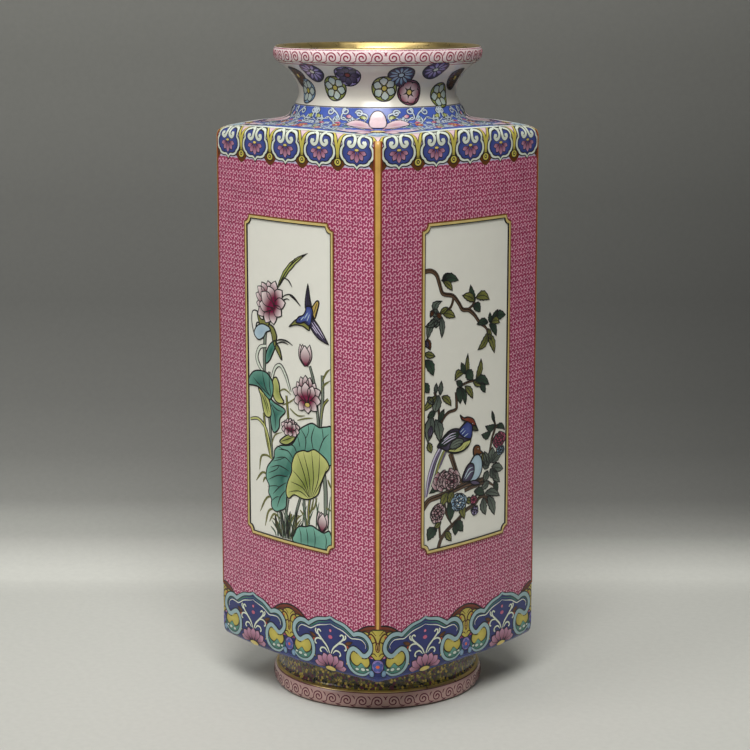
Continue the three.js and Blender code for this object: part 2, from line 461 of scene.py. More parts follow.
def make_rose_ground():
    material, tree, shader = shader_of("rose_ground")
    flat = node(tree, "ShaderNodeUVMap", uv_map="flat").outputs[0]
    hand = node(tree, "ShaderNodeTexNoise", Vector=flat, Scale=260.0, Detail=1.0).outputs["Color"]
    wandering = vector_maths(tree, "MULTIPLY_ADD", hand, (1.4 * MM, 1.4 * MM, 0), flat)
    net = node(tree, "ShaderNodeGroup", node_tree=HOOK_GROUP)
    feed_by_name(tree, net, Pitch=HOOK_PITCH, Line_Width=HOOK_LINE, Flat_Place=wandering)
    line = net.outputs["Line"]
    colours = {"Colour": srgb(162, 60, 96), "Deep_Colour": srgb(236, 182, 200)}
    wash = wash_over(tree, shader, 0.12, Shade=line, Mottle=0.2, Gloss=0.14, **colours)
    raised = maths(tree, "ADD", maths(tree, "MULTIPLY", line, 1.5), wash["Height"])
    bump(tree, shader, raised, 0.03 * MM)
    return material


ROSE_GROUND = make_rose_ground()

# %% [markdown]
# ## Four walls
# Each wall is a slab between two mitred edges. It is a grid bent round the slab's own section and
# stretched from the base to the shoulder. Only its outer face carries the rose ground, so that
# face gets a flat map, in metres, for the net to follow.

# %% Walls
WALL_NAMES = ["wall_right", "wall_back", "wall_left", "wall_front"]


def make_wall(name, turns):
    section = wall_line(0) + wall_line(WALL)[::-1]
    section = turned_quarters(section, turns)
    rings = [[(x, y, z) for x, y in section] for z in (BASE_SEAM, SHOULDER_SEAM)]
    piece = built(f"{name}_glazed", rings, fill_ends=True)
    piece.data.materials.append(WHITE_GLAZE)
    piece.data.materials.append(ROSE_GROUND)
    flat = piece.data.uv_layers.new(name="flat")
    turn = Matrix.Rotation(turns * QUARTER, 3, "Z").transposed()
    points = [turn @ v.co for v in piece.data.vertices]
    for face in piece.data.polygons:
        normal = turn @ face.normal
        outer = normal.x > 0.6 and min(points[v].x for v in face.vertices) > HALF_CHORD - CORNER_RADIUS
        face.material_index = 1 if outer else 0
        for corner in face.loop_indices:
            at = points[piece.data.loops[corner].vertex_index]
            flat.data[corner].uv = (at.y, at.z)
    return finish_piece(piece, "glazed_porcelain", name)


for turns, name in enumerate(WALL_NAMES):
    make_wall(name, turns)

# %% [markdown]
# ## Shoulder
# The shoulder is almost flat: a shallow dome that runs from the neck out to the walls, where its
# edge turns down through a soft rounding. Its rings slide from the square outline to the round
# seat of the neck.

# %% Shoulder
NECK_SEAT = 42 * MM
NECK_BORE = 37.6 * MM
# distance from the axis and height, in millimetres
DOME_TOP = [(42, 288.5), (42.6, 287), (43.9, 285.7), (46, 284.8), (50, 284), (60, 282.6), (80, 279.8)]
DOME_UNDERSIDE = [(37.6, 288.5), (38, 284), (39.6, 281.4), (42.5, 280), (47, 279.1), (60, 277.4),
    (80, 274.8)]
DOME_SHARES = [1, 0.85, 0.7, 0.55, 0.42, 0.3, 0.2, 0.13, 0.08, 0.05, 0.03, 0.015, 0]
ROUNDING_STEPS = 8


def dome_height(distance, heights=DOME_TOP):
    at, z = np.array(heights).T * MM
    return np.interp(distance, at, z)


def dome_ring(outline, share, seat, heights):
    ring = []
    for x, y in outline:
        reach = math.hypot(x, y)
        distance = seat + (reach - seat) * share
        ring.append((x * distance / reach, y * distance / reach, float(dome_height(distance, heights))))
    return ring


def make_shoulder():
    edge_ring = dome_ring(body_line(EDGE_ROUNDING), 1, NECK_SEAT, DOME_TOP)
    rings = [[(x, y, SHOULDER_SEAM) for x, y in body_line(0)]]
    for step in range(ROUNDING_STEPS):
        turn = QUARTER * step / ROUNDING_STEPS
        outline = body_line(EDGE_ROUNDING * (1 - math.cos(turn)))
        drop = EDGE_ROUNDING * (1 - math.sin(turn))
        rings.append([(x, y, top[2] - drop) for (x, y), top in zip(outline, edge_ring)])
    rings += [dome_ring(body_line(EDGE_ROUNDING), s, NECK_SEAT, DOME_TOP) for s in DOME_SHARES]
    under = [dome_ring(body_line(WALL + 2 * MM), s, NECK_BORE, DOME_UNDERSIDE) for s in DOME_SHARES]
    rings += under[::-1]
    rings += [[(x, y, z) for x, y in body_line(WALL)] for z in (SHOULDER_SEAM + 2 * MM, SHOULDER_SEAM)]
    rings.append(rings[0])
    return built("shoulder_glazed", rings)


shoulder = make_shoulder()
shoulder.data.materials.append(WHITE_GLAZE)
shoulder.data.materials.append(SKY_BLUE)
for face in shoulder.data.polygons:
    faces_out = face.normal.xy.dot(face.center.xy) > 0 and face.center.z > SHOULDER_SEAM
    faces_up = face.normal.z > 0.2 or math.hypot(face.center.x, face.center.y) > WALL_REACH
    face.material_index = 1 if faces_up or faces_out else 0
finish_piece(shoulder, "glazed_porcelain", "shoulder")

# %% [markdown]
# ## Base
# The base closes the body. Its edge curls in under the walls, and its underside is flat where the
# foot ring joins it.

# %% Base
BASE_EDGE = [(0, 27.0), (0.25, 25.2), (0.6, 24.3), (1.2, 23.4), (2.7, 22.3), (5, 21.7), (9, 21.3)]
FOOT_SEAT = 53 * MM


def make_base():
    rings = []
    for distance in (0, FOOT_SEAT / 2, FOOT_SEAT):
        rings.append([(*(Vector(p).normalized() * distance), FOOT_TOP) for p in body_line(0)])
    for inset, z in reversed(BASE_EDGE):
        rings.append([(x, y, z * MM) for x, y in body_line(inset * MM)])
    for share in (0.5, 0):
        rings.append([(x * share, y * share, BASE_SEAM) for x, y in body_line(0)])
    return built("base_glazed", rings)


base = make_base()
base.data.materials.append(WHITE_GLAZE)
base.data.materials.append(BLUE)
for face in base.data.polygons:
    rim = face.center.z < BASE_SEAM - 0.1 * MM and face.center.z > 21.5 * MM
    face.material_index = 1 if rim else 0
finish_piece(base, "glazed_porcelain", "base_plate")

# %% [markdown]
# ## Neck
# The neck was thrown on a wheel, so its profile is spun. The lip and the first stretch inside the
# mouth are gilded, the outside of the lip carries a pink band, and the blue of the shoulder runs up
# on to its foot.

# %% Neck
NECK_OUTSIDE = [(42.0, 288.5), (40.4, 291.8), (38.7, 295.4), (38.4, 298.2), (39.3, 302.0), (42.4, 307.2),
    (47.1, 311.0)]
LIP_ROLL = [(49.5, 313.0), (50.5, 315.2), (50.6, 317.4), (49.9, 319.2), (48.4, 320.0), (47.0, 319.4)]
NECK_INSIDE = [(45.6, 317.4), (42.6, 312.4), (38.6, 307.0), (35.2, 301.6), (34.2, 297.6), (35.0, 293.4),
    (37.6, 288.5)]
GILDED_LIP = 319.3 * MM
GILDED_DOWN_TO = 305 * MM
BAND_BOTTOM = 313.6 * MM
BLUE_UP_TO = 291.8 * MM

neck_outer = through(NECK_OUTSIDE + LIP_ROLL, 6)
neck = turned("neck_glazed", [tuple(p * MM) for p in np.vstack([neck_outer, through(NECK_INSIDE, 6)])])
for material in (WHITE_GLAZE, GOLD, PINK_BAND, SKY_BLUE):
    neck.data.materials.append(material)
for face in neck.data.polygons:
    inside, z = face.normal.xy.dot(face.center.xy) < 0, face.center.z
    face.material_index = 0
    if z > (GILDED_DOWN_TO if inside else GILDED_LIP):
        face.material_index = 1
    elif not inside and z > BAND_BOTTOM:
        face.material_index = 2
    elif not inside and z < BLUE_UP_TO:
        face.material_index = 3
finish_piece(neck, "glazed_porcelain", "neck")

# %% [markdown]
# ## Foot ring
# Also thrown, so also spun. Its rolled flange has a pink band and a gold line over it, its hollow
# neck is crowded with small flowers, and the ring that it stands on is bare clay. The flange's pink
# is painted darker than the lip's band, a painted shade for the shadow under the body.

# %% Foot ring
FOOT_REST = [(46.4, 0.0), (49.2, 0.0)]
FOOT_FLANGE = [(51.2, 0.0), (52.4, 1.3), (53.0, 4.2), (52.7, 6.8), (51.6, 8.7)]
FOOT_NECK = [(50.4, 9.2), (49.4, 10.4), (48.9, 13.0), (48.9, 16.4), (49.6, 20.0)]
FOOT_INSIDE = [(43.6, 20.0), (43.8, 12.0), (44.6, 3.2), (45.4, 0.8)]
FLOWERS_FROM = 9.2 * MM
GOLD_LINE_FROM = 7.9 * MM
BARE_BELOW = 1.0 * MM
FLOWERS_PER_METRE = 760.0
FLOWER_COLOURS = [(84, 70, 22), (132, 122, 34), (104, 44, 60), (206, 178, 76), (46, 44, 18), (112, 90, 28)]


def make_flower_ground():
    """Crowded small flowers on dark gold, seen only as a glitter of colours."""
    material, tree, shader = shader_of("crowded_flowers")
    place = object_place(tree)
    petals = node(tree, "ShaderNodeTexVoronoi", Vector=place, Scale=FLOWERS_PER_METRE)
    edges = node(tree, "ShaderNodeTexVoronoi", feature="DISTANCE_TO_EDGE", Vector=place,
        Scale=FLOWERS_PER_METRE)
    stops = [(index / len(FLOWER_COLOURS), srgb(*colour)) for index, colour in enumerate(FLOWER_COLOURS)]
    picked = ramp(tree, petals.outputs["Color"], stops, "CONSTANT")
    rim = maths(tree, "MULTIPLY", edges.outputs["Distance"], 6.0, clamp=True)
    rough = maths(tree, "ADD", maths(tree, "MULTIPLY", rim, -0.15), 0.35)
    colour = mixed(tree, rim, srgb(40, 30, 18), picked)
    feed_by_name(tree, shader, Base_Color=colour, Roughness=rough, Coat_Weight=0.4)
    bump(tree, shader, rim, 0.1 * MM, 0.6)
    return material


FLOWER_GROUND = make_flower_ground()
# painted shade: the foot's pink band is a darker copy of the lip's pink, for the shadow under the body
FOOT_BAND_PAINTED_SHADE = enamel("foot_band_painted_shade", (196, 160, 152), mottle=0.08)
BARE_RIM = enamel("bare_foot_rim", (96, 78, 58), (60, 46, 34), mottle=0.2, gloss=0.5, coat=0)

foot_profile = FOOT_REST + [tuple(p) for p in through(FOOT_FLANGE + FOOT_NECK, 5)]
foot_profile += [tuple(p) for p in through(FOOT_INSIDE, 3)]
foot = turned("foot_ring_glazed", [(r * MM, z * MM) for r, z in foot_profile])
for material in (WHITE_GLAZE, GOLD, FOOT_BAND_PAINTED_SHADE, FLOWER_GROUND, BARE_RIM):
    foot.data.materials.append(material)
for face in foot.data.polygons:
    z = face.center.z
    if face.normal.xy.dot(face.center.xy) < 0:
        face.material_index = 0
    elif z > FLOWERS_FROM:
        face.material_index = 3
    elif z > GOLD_LINE_FROM:
        face.material_index = 1
    else:
        face.material_index = 2 if z > BARE_BELOW else 4
finish_piece(foot, "glazed_porcelain", "foot_ring")

# %% [markdown]
# ## Clay in the seams
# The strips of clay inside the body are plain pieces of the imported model. They keep their shape
# and only get the look of clay smeared smooth under a thin glaze.

# %% Seam strips
for name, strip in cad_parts.items():
    if "seam_strip" in name:
        strip.data.materials.clear()
        strip.data.materials.append(LUTING_CLAY)

# %% [markdown]
# ## Painting tools
# Enamel stands a little proud of the glaze, so the painting is made of very thin solid shapes.
# They are drawn flat, in millimetres, as filled shapes and brush lines, each on its own level, the
# way that a painter lays one colour over another. Then the flat sheet is cut into strips, given a
# thickness, and laid on the vase by a rule that follows the surface. A Curve or Shrinkwrap
# modifier could also lay it down, but would flatten the levels or miss the wall by more than
# the enamel's own thickness.

# %% Painting tools
LEVEL = 0.025 * MM
SUNK = 0.15 * MM
FLAT_DEPTH = 10


def walk(points):
    """How far each point of a line is along it."""
    return np.concatenate([[0], np.cumsum(np.linalg.norm(np.diff(points, axis=0), axis=1))])


def offset(points, distance):
    """A closed outline moved inwards by a distance (outwards if negative)."""
    before, after = np.roll(points, 1, axis=0), np.roll(points, -1, axis=0)
    along = after - before
    along /= np.linalg.norm(along, axis=1)[:, None] + 1e-12
    area = np.sum(points[:, 0] * after[:, 1] - after[:, 0] * points[:, 1])
    inward = np.stack([-along[:, 1], along[:, 0]], axis=1) * np.sign(area)
    return points + inward * distance


def mirrored(points):
    """Right half of an outline, from top to bottom, with its left half added."""
    points = [tuple(p) for p in points]
    return points + [(-x, y) for x, y in reversed(points) if abs(x) > 1e-6]


def blade(base, tip, width, belly=0.5, bend=0.0, steps=8):
    """Outline of a leaf or petal, and how far each of its points is from base to tip."""
    base, tip = np.array(base, float), np.array(tip, float)
    length = np.linalg.norm(tip - base)
    axis = (tip - base) / length
    side = np.array([-axis[1], axis[0]])
    t = np.linspace(0, 1, steps + 1)
    swell = np.sin(np.pi * t ** (math.log(0.5) / math.log(belly)))
    middle = base + np.outer(t * length, axis) + np.outer(4 * bend * length * t * (1 - t), side)
    spread = np.outer(swell * width / 2, side)
    outline = np.vstack([middle + spread, (middle - spread)[-2:0:-1]])
    return outline, np.concatenate([t, t[-2:0:-1]])


def disc(centre, across, tall=None, steps=18):
    angles = np.linspace(0, 2 * np.pi, steps, endpoint=False)
    x, y = across / 2 * np.cos(angles), (tall or across) / 2 * np.sin(angles)
    return np.stack([centre[0] + x, centre[1] + y], axis=1)


def between(count):
    """Faces between two closed outlines of the same number of points, one listed after the other."""
    return [[i, (i + 1) % count, count + (i + 1) % count, count + i] for i in range(count)]


class Painting:
    """Flat artwork: points with a level and a shade, and faces with a paint."""

    def __init__(self):
        self.points, self.levels, self.shades = np.zeros((0, 2)), np.zeros(0), np.zeros(0)
        self.faces, self.paints = [], []

    def add(self, points, faces, paint, level, shade):
        start = len(self.points)
        self.points = np.vstack([self.points, points])
        self.levels = np.append(self.levels, np.full(len(points), float(level)))
        self.shades = np.append(self.shades, np.broadcast_to(shade, len(points)))
        self.faces += [[start + i for i in face] for face in faces]
        self.paints += [paint] * len(faces)

    def fill(self, outline, paint, level, shade=0.0, edge=None, edge_width=0.4):
        """A filled shape, with an inked edge round it if asked."""
        outline = np.array(outline, float)
        if edge:
            self.loop(outline, edge, level + 0.5, edge_width)
        self.add(outline, [list(range(len(outline)))], paint, level, shade)

    def glow(self, outline, paint, level, rim=0.0, heart=1.0, centre=None, edge=None, edge_width=0.4):
        """A filled shape whose wash changes from its rim to its heart."""
        outline = np.array(outline, float)
        count = len(outline)
        centre = outline.mean(axis=0) if centre is None else np.array(centre, float)
        rings = [outline, centre + (outline - centre) * 0.55]
        faces = between(count)
        faces += [[count + i, count + (i + 1) % count, 2 * count] for i in range(count)]
        shade = np.concatenate([np.full(count, rim), np.full(count, (rim + heart) / 2), [heart]])
        if edge:
            self.loop(outline, edge, level + 0.5, edge_width)
        self.add(np.vstack([*rings, centre[None]]), faces, paint, level, shade)

    def line(self, path, paint, level, width, ends=(0.3, 0.3), shade=0.0):
        """A brush line that thins towards its ends."""
        path = np.array(path, float)
        along = np.gradient(path, axis=0)
        along /= np.linalg.norm(along, axis=1)[:, None] + 1e-12
        side = np.stack([-along[:, 1], along[:, 0]], axis=1)
        walked = walk(path)
        swell = np.interp(walked / walked[-1], [0, 0.3, 0.7, 1], [ends[0], 1, 1, ends[1]])
        spread = side * (swell * width / 2)[:, None]
        count = len(path)
        faces = [[i, i + 1, count + i + 1, count + i] for i in range(count - 1)]
        self.add(np.vstack([path - spread, path + spread]), faces, paint, level, shade)

    def loop(self, outline, paint, level, width):
        """A line of even width round a closed outline."""
        outer, inner = offset(outline, -width / 2), offset(outline, width / 2)
        self.add(np.vstack([outer, inner]), between(len(outline)), paint, level, 0.0)

    def inked_line(self, path, paint, level, width, ends=(0.3, 0.3), rim=0.3):
        """A coloured brush line with an inked line showing on both sides."""
        self.line(path, INK, level, width + 2 * rim, ends)
        self.line(path, paint, level + 1, width, ends)

    def stamp(self, other, at=(0, 0), turn=0.0, size=1.0, mirror=False):
        """A copy of another painting, put in place here."""
        start = len(self.points)
        c, s = math.cos(turn) * size, math.sin(turn) * size
        x = -other.points[:, 0] if mirror else other.points[:, 0]
        y = other.points[:, 1]
        placed = np.stack([at[0] + x * c - y * s, at[1] + x * s + y * c], axis=1)
        self.points = np.vstack([self.points, placed])
        self.levels = np.append(self.levels, other.levels)
        self.shades = np.append(self.shades, other.shades)
        self.faces += [[start + i for i in face] for face in other.faces]
        self.paints += other.paints


def lay(name, painting, place, cuts_across=(), cuts_up=(), window=None, slot="overglaze_enamel"):
    """Makes a flat painting a thin solid and lays it on the vase.

    Cuts let wide shapes bend, and what lies outside the window is trimmed away.
    """
    bpy.ops.object.select_all(action="DESELECT")
    mesh = bpy.data.meshes.new(name)
    flat = np.column_stack([painting.points, (painting.levels + 1) * LEVEL / MM])
    mesh.from_pydata(flat.tolist(), [], painting.faces)
    palette = list(dict.fromkeys(painting.paints))
    for paint in palette:
        mesh.materials.append(paint)
    mesh.polygons.foreach_set("material_index", [palette.index(paint) for paint in painting.paints])
    shade = mesh.attributes.new("shade", "FLOAT", "POINT")
    shade.data.foreach_set("value", painting.shades.astype(np.float32))
    piece = bpy.data.objects.new(name, mesh)
    bpy.context.scene.collection.objects.link(piece)
    edit(piece)
    bpy.ops.mesh.quads_convert_to_tris(ngon_method="BEAUTY")
    for normal, cuts in (((1, 0, 0), cuts_across), ((0, 1, 0), cuts_up)):
        for cut in cuts:
            bpy.ops.mesh.select_all(action="SELECT")
            bpy.ops.mesh.bisect(plane_co=tuple(cut * n for n in normal), plane_no=normal)
    for axis, edge, sign in zip((0, 1, 0, 1), window or (), (-1, -1, 1, 1)):
        normal = (sign * (1 - axis), sign * axis, 0)
        bpy.ops.mesh.select_all(action="SELECT")
        bpy.ops.mesh.bisect(plane_co=tuple(abs(n) * edge for n in normal), plane_no=normal,
            clear_outer=True)
    bpy.ops.mesh.select_all(action="SELECT")
    bpy.ops.mesh.extrude_region_move(TRANSFORM_OT_translate={"value": (0, 0, -FLAT_DEPTH)})
    bpy.ops.object.mode_set(mode="OBJECT")
    count = len(mesh.vertices)
    at = np.zeros(count * 3)
    mesh.vertices.foreach_get("co", at)
    at = at.reshape(-1, 3)
    height = np.where(at[:, 2] > 0, at[:, 2] * MM, -SUNK)
    mesh.vertices.foreach_set("co", place(at[:, 0] * MM, at[:, 1] * MM, height).ravel())
    edit(piece)
    bpy.ops.mesh.normals_make_consistent(inside=False)
    bpy.ops.object.mode_set(mode="OBJECT")
    return finish_piece(piece, slot)


# %% [markdown]
# ## Rules that lay a painting on the vase
# Round the body, a place is given by how far it is round the vase, counted along the walls'
# straight width, and by its height. Above the walls the rule follows the rounding of the
# shoulder, and below them the curl of the base. On a turned piece a place is given by its angle
# and by how far it is along the profile.

# %% Placing on the body
def diagonal_reach(inset):
    """How far the corner is from the middle of a wall, counted along the wall's width."""
    centre, corner, _ = corner_arc(inset)
    return centre + corner * math.sqrt(0.5)


WALL_HALF = diagonal_reach(0)


def wall_reach(across, inset):
    """How far the +X wall's surface is from the axis, at a place across it."""
    centre, corner, tangent = corner_arc(inset)
    face = FACE_RADIUS - inset
    on_face = FACE_CENTRE + np.sqrt(face**2 - across**2)
    on_corner = centre + np.sqrt(np.maximum(corner**2 - (np.abs(across) - centre) ** 2, 0))
    return np.where(np.abs(across) > face * np.sin(tangent), on_corner, on_face)


BASE_CURL = np.array(BASE_EDGE) * MM
CURL_LENGTHS = walk(BASE_CURL)


def on_body(round_, up, height):
    """Points on the body: how far round from the middle of the +X wall, how high, how proud."""
    wall = np.round(round_ / (2 * WALL_HALF))
    share = round_ / WALL_HALF - wall * 2
    top_across = share * diagonal_reach(EDGE_ROUNDING)
    top = dome_height(np.hypot(wall_reach(top_across, EDGE_ROUNDING), top_across))
    beyond = np.maximum(up - top + EDGE_ROUNDING, 0)
    turn = np.minimum(beyond / EDGE_ROUNDING, QUARTER)
    over_top = np.maximum(beyond - QUARTER * EDGE_ROUNDING, 0)
    inset = EDGE_ROUNDING * (1 - np.cos(turn)) + over_top
    z = np.minimum(up, top - EDGE_ROUNDING) + EDGE_ROUNDING * np.sin(turn)
    below = np.maximum(BASE_SEAM - up, 0)
    tilt = np.interp(below, [0, 2 * MM, 4 * MM, 6 * MM], [0, 0.2, 1.0, 1.45])
    inset = np.where(below > 0, np.interp(below, CURL_LENGTHS, BASE_CURL[:, 0]), inset)
    z = np.where(below > 0, np.interp(below, CURL_LENGTHS, BASE_CURL[:, 1]), z)
    inset = inset - height * np.cos(turn + tilt)
    across = share * diagonal_reach(inset)
    x = wall_reach(across, inset)
    z = np.where(over_top > 0, dome_height(np.hypot(x, across)), z) + height * np.sin(turn - tilt)
    c, s = np.cos(wall * QUARTER), np.sin(wall * QUARTER)
    return np.stack([x * c - across * s, x * s + across * c, z], axis=1)


def on_profile(profile):
    """A rule for a turned surface: across is angle times mean radius, up is along the profile."""
    profile = np.array(profile, float) * MM
    walked = walk(profile)
    mean = profile[:, 0].mean()
    slope = np.gradient(profile, axis=0)
    slope /= np.linalg.norm(slope, axis=1)[:, None]

    def place(across, up, height):
        radius, z = (np.interp(up, walked, profile[:, i]) for i in (0, 1))
        out, lift = np.interp(up, walked, slope[:, 1]), np.interp(up, walked, -slope[:, 0])
        radius, z = radius + out * height, z + lift * height
        return np.stack([radius * np.cos(across / mean), radius * np.sin(across / mean), z], axis=1)

    return place, mean / MM, walked[-1] / MM


PAINTED_TOP = [tuple(p) for p in neck_outer[6:0:-1]] + DOME_TOP
COVE = np.linspace(PAINTED_TOP[0][0], 52, 51) * MM
COVE_STEPS = np.hypot(np.diff(COVE), np.diff(dome_height(COVE, PAINTED_TOP)))
COVE_WALK = COVE[-1] - np.concatenate([np.cumsum(COVE_STEPS[::-1])[::-1], [0]])
print("the cove next to the neck starts at", round(COVE_WALK[0] / MM, 2), "mm in a drawing")


def on_shoulder(x, y, height):
    """Seen from above, with the cove and the neck's foot unrolled, so that nothing is stretched."""
    drawn = np.hypot(x, y)
    reach = np.where(drawn < COVE[-1], np.interp(drawn, COVE_WALK, COVE), drawn)
    step = 0.3 * MM
    slope = (dome_height(reach + step, PAINTED_TOP) - dome_height(reach - step, PAINTED_TOP)) / (2 * step)
    steep = np.sqrt(1 + slope**2)
    z = dome_height(reach, PAINTED_TOP) + height / steep
    share = (reach - height * slope / steep) / drawn
    return np.stack([x * share, y * share, z], axis=1)


W = WALL_HALF / MM
CORNER_CUTS = [W + side * cut for side in (-1, 1) for cut in (0.0, 0.35, 0.75, 1.2, 1.8, 2.6, 3.6)]
WALL_CUTS = list(range(-48, 49, 6)) + CORNER_CUTS + [cut - 2 * W for cut in CORNER_CUTS]
print("wall width", round(2 * W, 2), "mm")


def turned_copy(piece, name, turns, slot="overglaze_enamel"):
    """The same painting again, a number of quarter turns further round."""
    mesh = piece.data.copy()
    mesh.transform(Matrix.Rotation(turns * QUARTER, 4, "Z"))
    mesh.name = name
    copy = bpy.data.objects.new(name, mesh)
    bpy.context.scene.collection.objects.link(copy)
    return finish_piece(copy, slot)


def lay_on_walls(name, painting, cuts_up=(), slot="overglaze_enamel"):
    """Lays a painting on the +X wall, and a turned copy on each of the others."""
    first = lay(f"{name}_right", painting, on_body, WALL_CUTS, cuts_up, slot=slot)
    for turns, side in enumerate(("back", "left", "front"), 1):
        turned_copy(first, f"{name}_{side}", turns, slot)

# %% [markdown]
# ## Enamel colours
# Famille-rose enamels are opaque and a little chalky. Each has a first colour and a deeper one,
# and the brush work goes from one to the other.

# %% Enamel colours
NAVY = enamel("navy", (36, 44, 100), (92, 106, 178))
PALE_LINE = enamel("pale_line", (222, 228, 212), (176, 196, 190), mottle=0.04)
PINK = enamel("pink", (232, 212, 214), (196, 92, 122), mottle=0.06)
PETAL = enamel("petal", (200, 150, 174), (100, 24, 54), mottle=0.08)
ROSE = enamel("rose", (222, 128, 156), (150, 40, 76), mottle=0.1)
BUFF = enamel("buff", (226, 204, 116), (150, 112, 50))
TEAL = enamel("teal", (128, 184, 164), (18, 90, 80))
LEMON = enamel("lemon", (206, 192, 92), (142, 126, 48), mottle=0.1)
LEAF = enamel("leaf_green", (204, 206, 128), (112, 128, 44))
OLIVE = enamel("olive", (112, 112, 62), (52, 60, 38), mottle=0.15)
BROWN = enamel("brown", (124, 76, 40), (74, 44, 28), mottle=0.15)
LILAC = enamel("lilac", (206, 196, 222), (128, 112, 176), mottle=0.08)
MIST = enamel("mist_blue", (190, 212, 220), (104, 140, 176), mottle=0.08)
SLATE = enamel("slate_green", (124, 134, 120), (58, 70, 66), mottle=0.15)
PINE = enamel("pine_green", (70, 92, 72), (30, 46, 42), mottle=0.15)
BARK = enamel("bark", (98, 76, 58), (40, 32, 28), mottle=0.2)
DUSK = enamel("dusk", (112, 100, 128), (46, 42, 62), mottle=0.15)
FEATHER_BLUE = enamel("feather_blue", (102, 120, 190), (40, 48, 112))
MOSS = enamel("moss", (146, 146, 78), (82, 86, 48), mottle=0.15)
BLUSH = enamel("blush", (240, 224, 222), (122, 26, 64), mottle=0.08)
EDGE_GOLD = enamel("edge_gold", (210, 164, 88), (168, 118, 58), mottle=0.15)
SCROLL_BLUE = enamel("scroll_blue", (194, 206, 214), mottle=0.08)
ORANGE = enamel("orange", (214, 104, 62), (160, 52, 36), mottle=0.1)
print(len(bpy.data.materials), "paints, glazes and golds")

# %% [markdown]
# ## Edge lines and picture panels
# A gold line with a red-brown line at each side runs down every corner. Each wall has a white
# panel with notched corners, framed by a red line, a gold band and a thin green line.

# %% Gold edges and framed panels
EDGE_FROM, EDGE_TO = 49.5, 279.4
PANEL = (-28.9, 83.4, 28.9, 238.4)


def notched(grow):
    """The panel's outline: a rectangle whose corners are cut by a small quarter round."""
    left, low, right, high = np.array(PANEL) + (-grow, -grow, grow, grow)
    bite = 3.0 + grow * 0.3
    points = []
    corners = ((right, high, -1, -1), (left, high, 1, -1), (left, low, 1, 1), (right, low, -1, 1))
    for x, y, sx, sy in corners:
        quarter = [(math.cos(a), math.sin(a)) for a in np.linspace(0, QUARTER, 7)]
        if sx * sy < 0:
            quarter = quarter[::-1]
        points += [(x + sx * bite * c, y + sy * bite * s) for s, c in quarter]
    return np.array(points)


edge = Painting()
EDGE_LINES = [(3.8, 2.6, RUST, 10), (2.9, 1.7, BROWN, 11), (2, 0.95, EDGE_GOLD, 12)]
for top_width, foot_width, paint, level in EDGE_LINES:
    side_line = [(W + top_width / 2, EDGE_TO), (W + foot_width / 2, EDGE_FROM)]
    edge.fill(side_line + [(2 * W - u, z) for u, z in side_line[::-1]], paint, level)
ROUNDED_EDGE_CUTS = [270] + [275.5 + 0.6 * step for step in range(15)]
lay_on_walls("gilt_edge", edge, ROUNDED_EDGE_CUTS, "gilding")

panel = Painting()
panel.fill(notched(1.7), PICTURE_WHITE, 2)
for grow, width, paint, level in ((1.75, 0.6, BROWN, 22), (0.95, 1.4, FRAME_GOLD, 21),
        (0.1, 0.45, INK, 22)):
    panel.loop(notched(grow), paint, level, width)
lay_on_walls("panel", panel)

# %% [markdown]
# ## Lappets under the shoulder
# Five cloud-shaped lappets hang on each wall. Each has a blue ground with two white curls and a
# pink flower, and between them is a yellow fork over a drop with a ring.

# %% Lappets
LAPPET = [(0, 282.6), (0, 282.6), (4.4, 283.2), (7.6, 282.2), (8.9, 279.8), (8.6, 277.2), (8.6, 277.2),
    (10, 275.4)]
LAPPET += [(10.3, 272.6), (9.3, 270.3), (8.1, 269.4), (8.1, 269.4), (7, 267.9), (4.6, 267.1)]
LAPPET += [(3.1, 267.2), (3.1, 267.2), (1.5, 266.9), (0, 265.4), (0, 265.4)]
PITCH = 2 * W / 5


def swollen(points, centre, across, up):
    """An outline made wider and taller about a centre."""
    return np.array(centre) + (np.array(points) - centre) * (across, up)


def petal(art, base, tip, width, paint, levels, shades, grow, belly=0.66, side=(1, 1), bend=0, steps=8):
    """A petal or small leaf over its own dark rim, washed from its base to its tip."""
    outline, wash = blade(base, tip, width, belly, bend, steps)
    art.fill(swollen(outline, outline.mean(axis=0), *grow) * side, INK, levels[0])
    art.fill(outline * side, paint, levels[1], shades[0] + (shades[1] - shades[0]) * wash)


def drawn_lappet():
    art = Painting()
    whole = through(mirrored(LAPPET), 4, closed=True)
    heart = (0, 273.8)
    art.fill(whole, INK, 4)
    art.fill(swollen(whole, heart, 0.94, 0.925), PALE_LINE, 5)
    art.fill(swollen(whole, heart, 0.82, 0.79), INK, 6)
    art.glow(swollen(whole, heart, 0.765, 0.725), NAVY, 7, rim=0.35, heart=1)
    for side in (-1, 1):
        curl = through([(3.6, 282.4), (1.7, 281.4), (1.05, 279), (1.8, 277), (3.5, 276.4), (4.9, 277.5),
            (4.3, 278.8)], 4)
        art.inked_line(curl * (side, 1), PALE_LINE, 8, 1.6, ends=(0.9, 0.7), rim=0.35)
        art.fill(disc((side * 3.8, 278.2), 1.6), PALE_LINE, 9.5)
        for base, tip, width in (((1.2, 274.3), (5.2, 273), 1.9), ((0.8, 274.2), (3.3, 270.4), 2.3)):
            petal(art, base, tip, width, PETAL, (8, 9), (1, 0), (1.22, 1.28), side=(side, 1))
    petal(art, (0, 274.4), (0, 269), 2.4, PETAL, (10, 11), (1, 0), (1.28, 1.12))
    art.fill(disc((0, 274.9), 2.9, 1.6), INK, 11)
    art.fill(disc((0, 274.9), 2.3, 1.1), BUFF, 12)
    return art


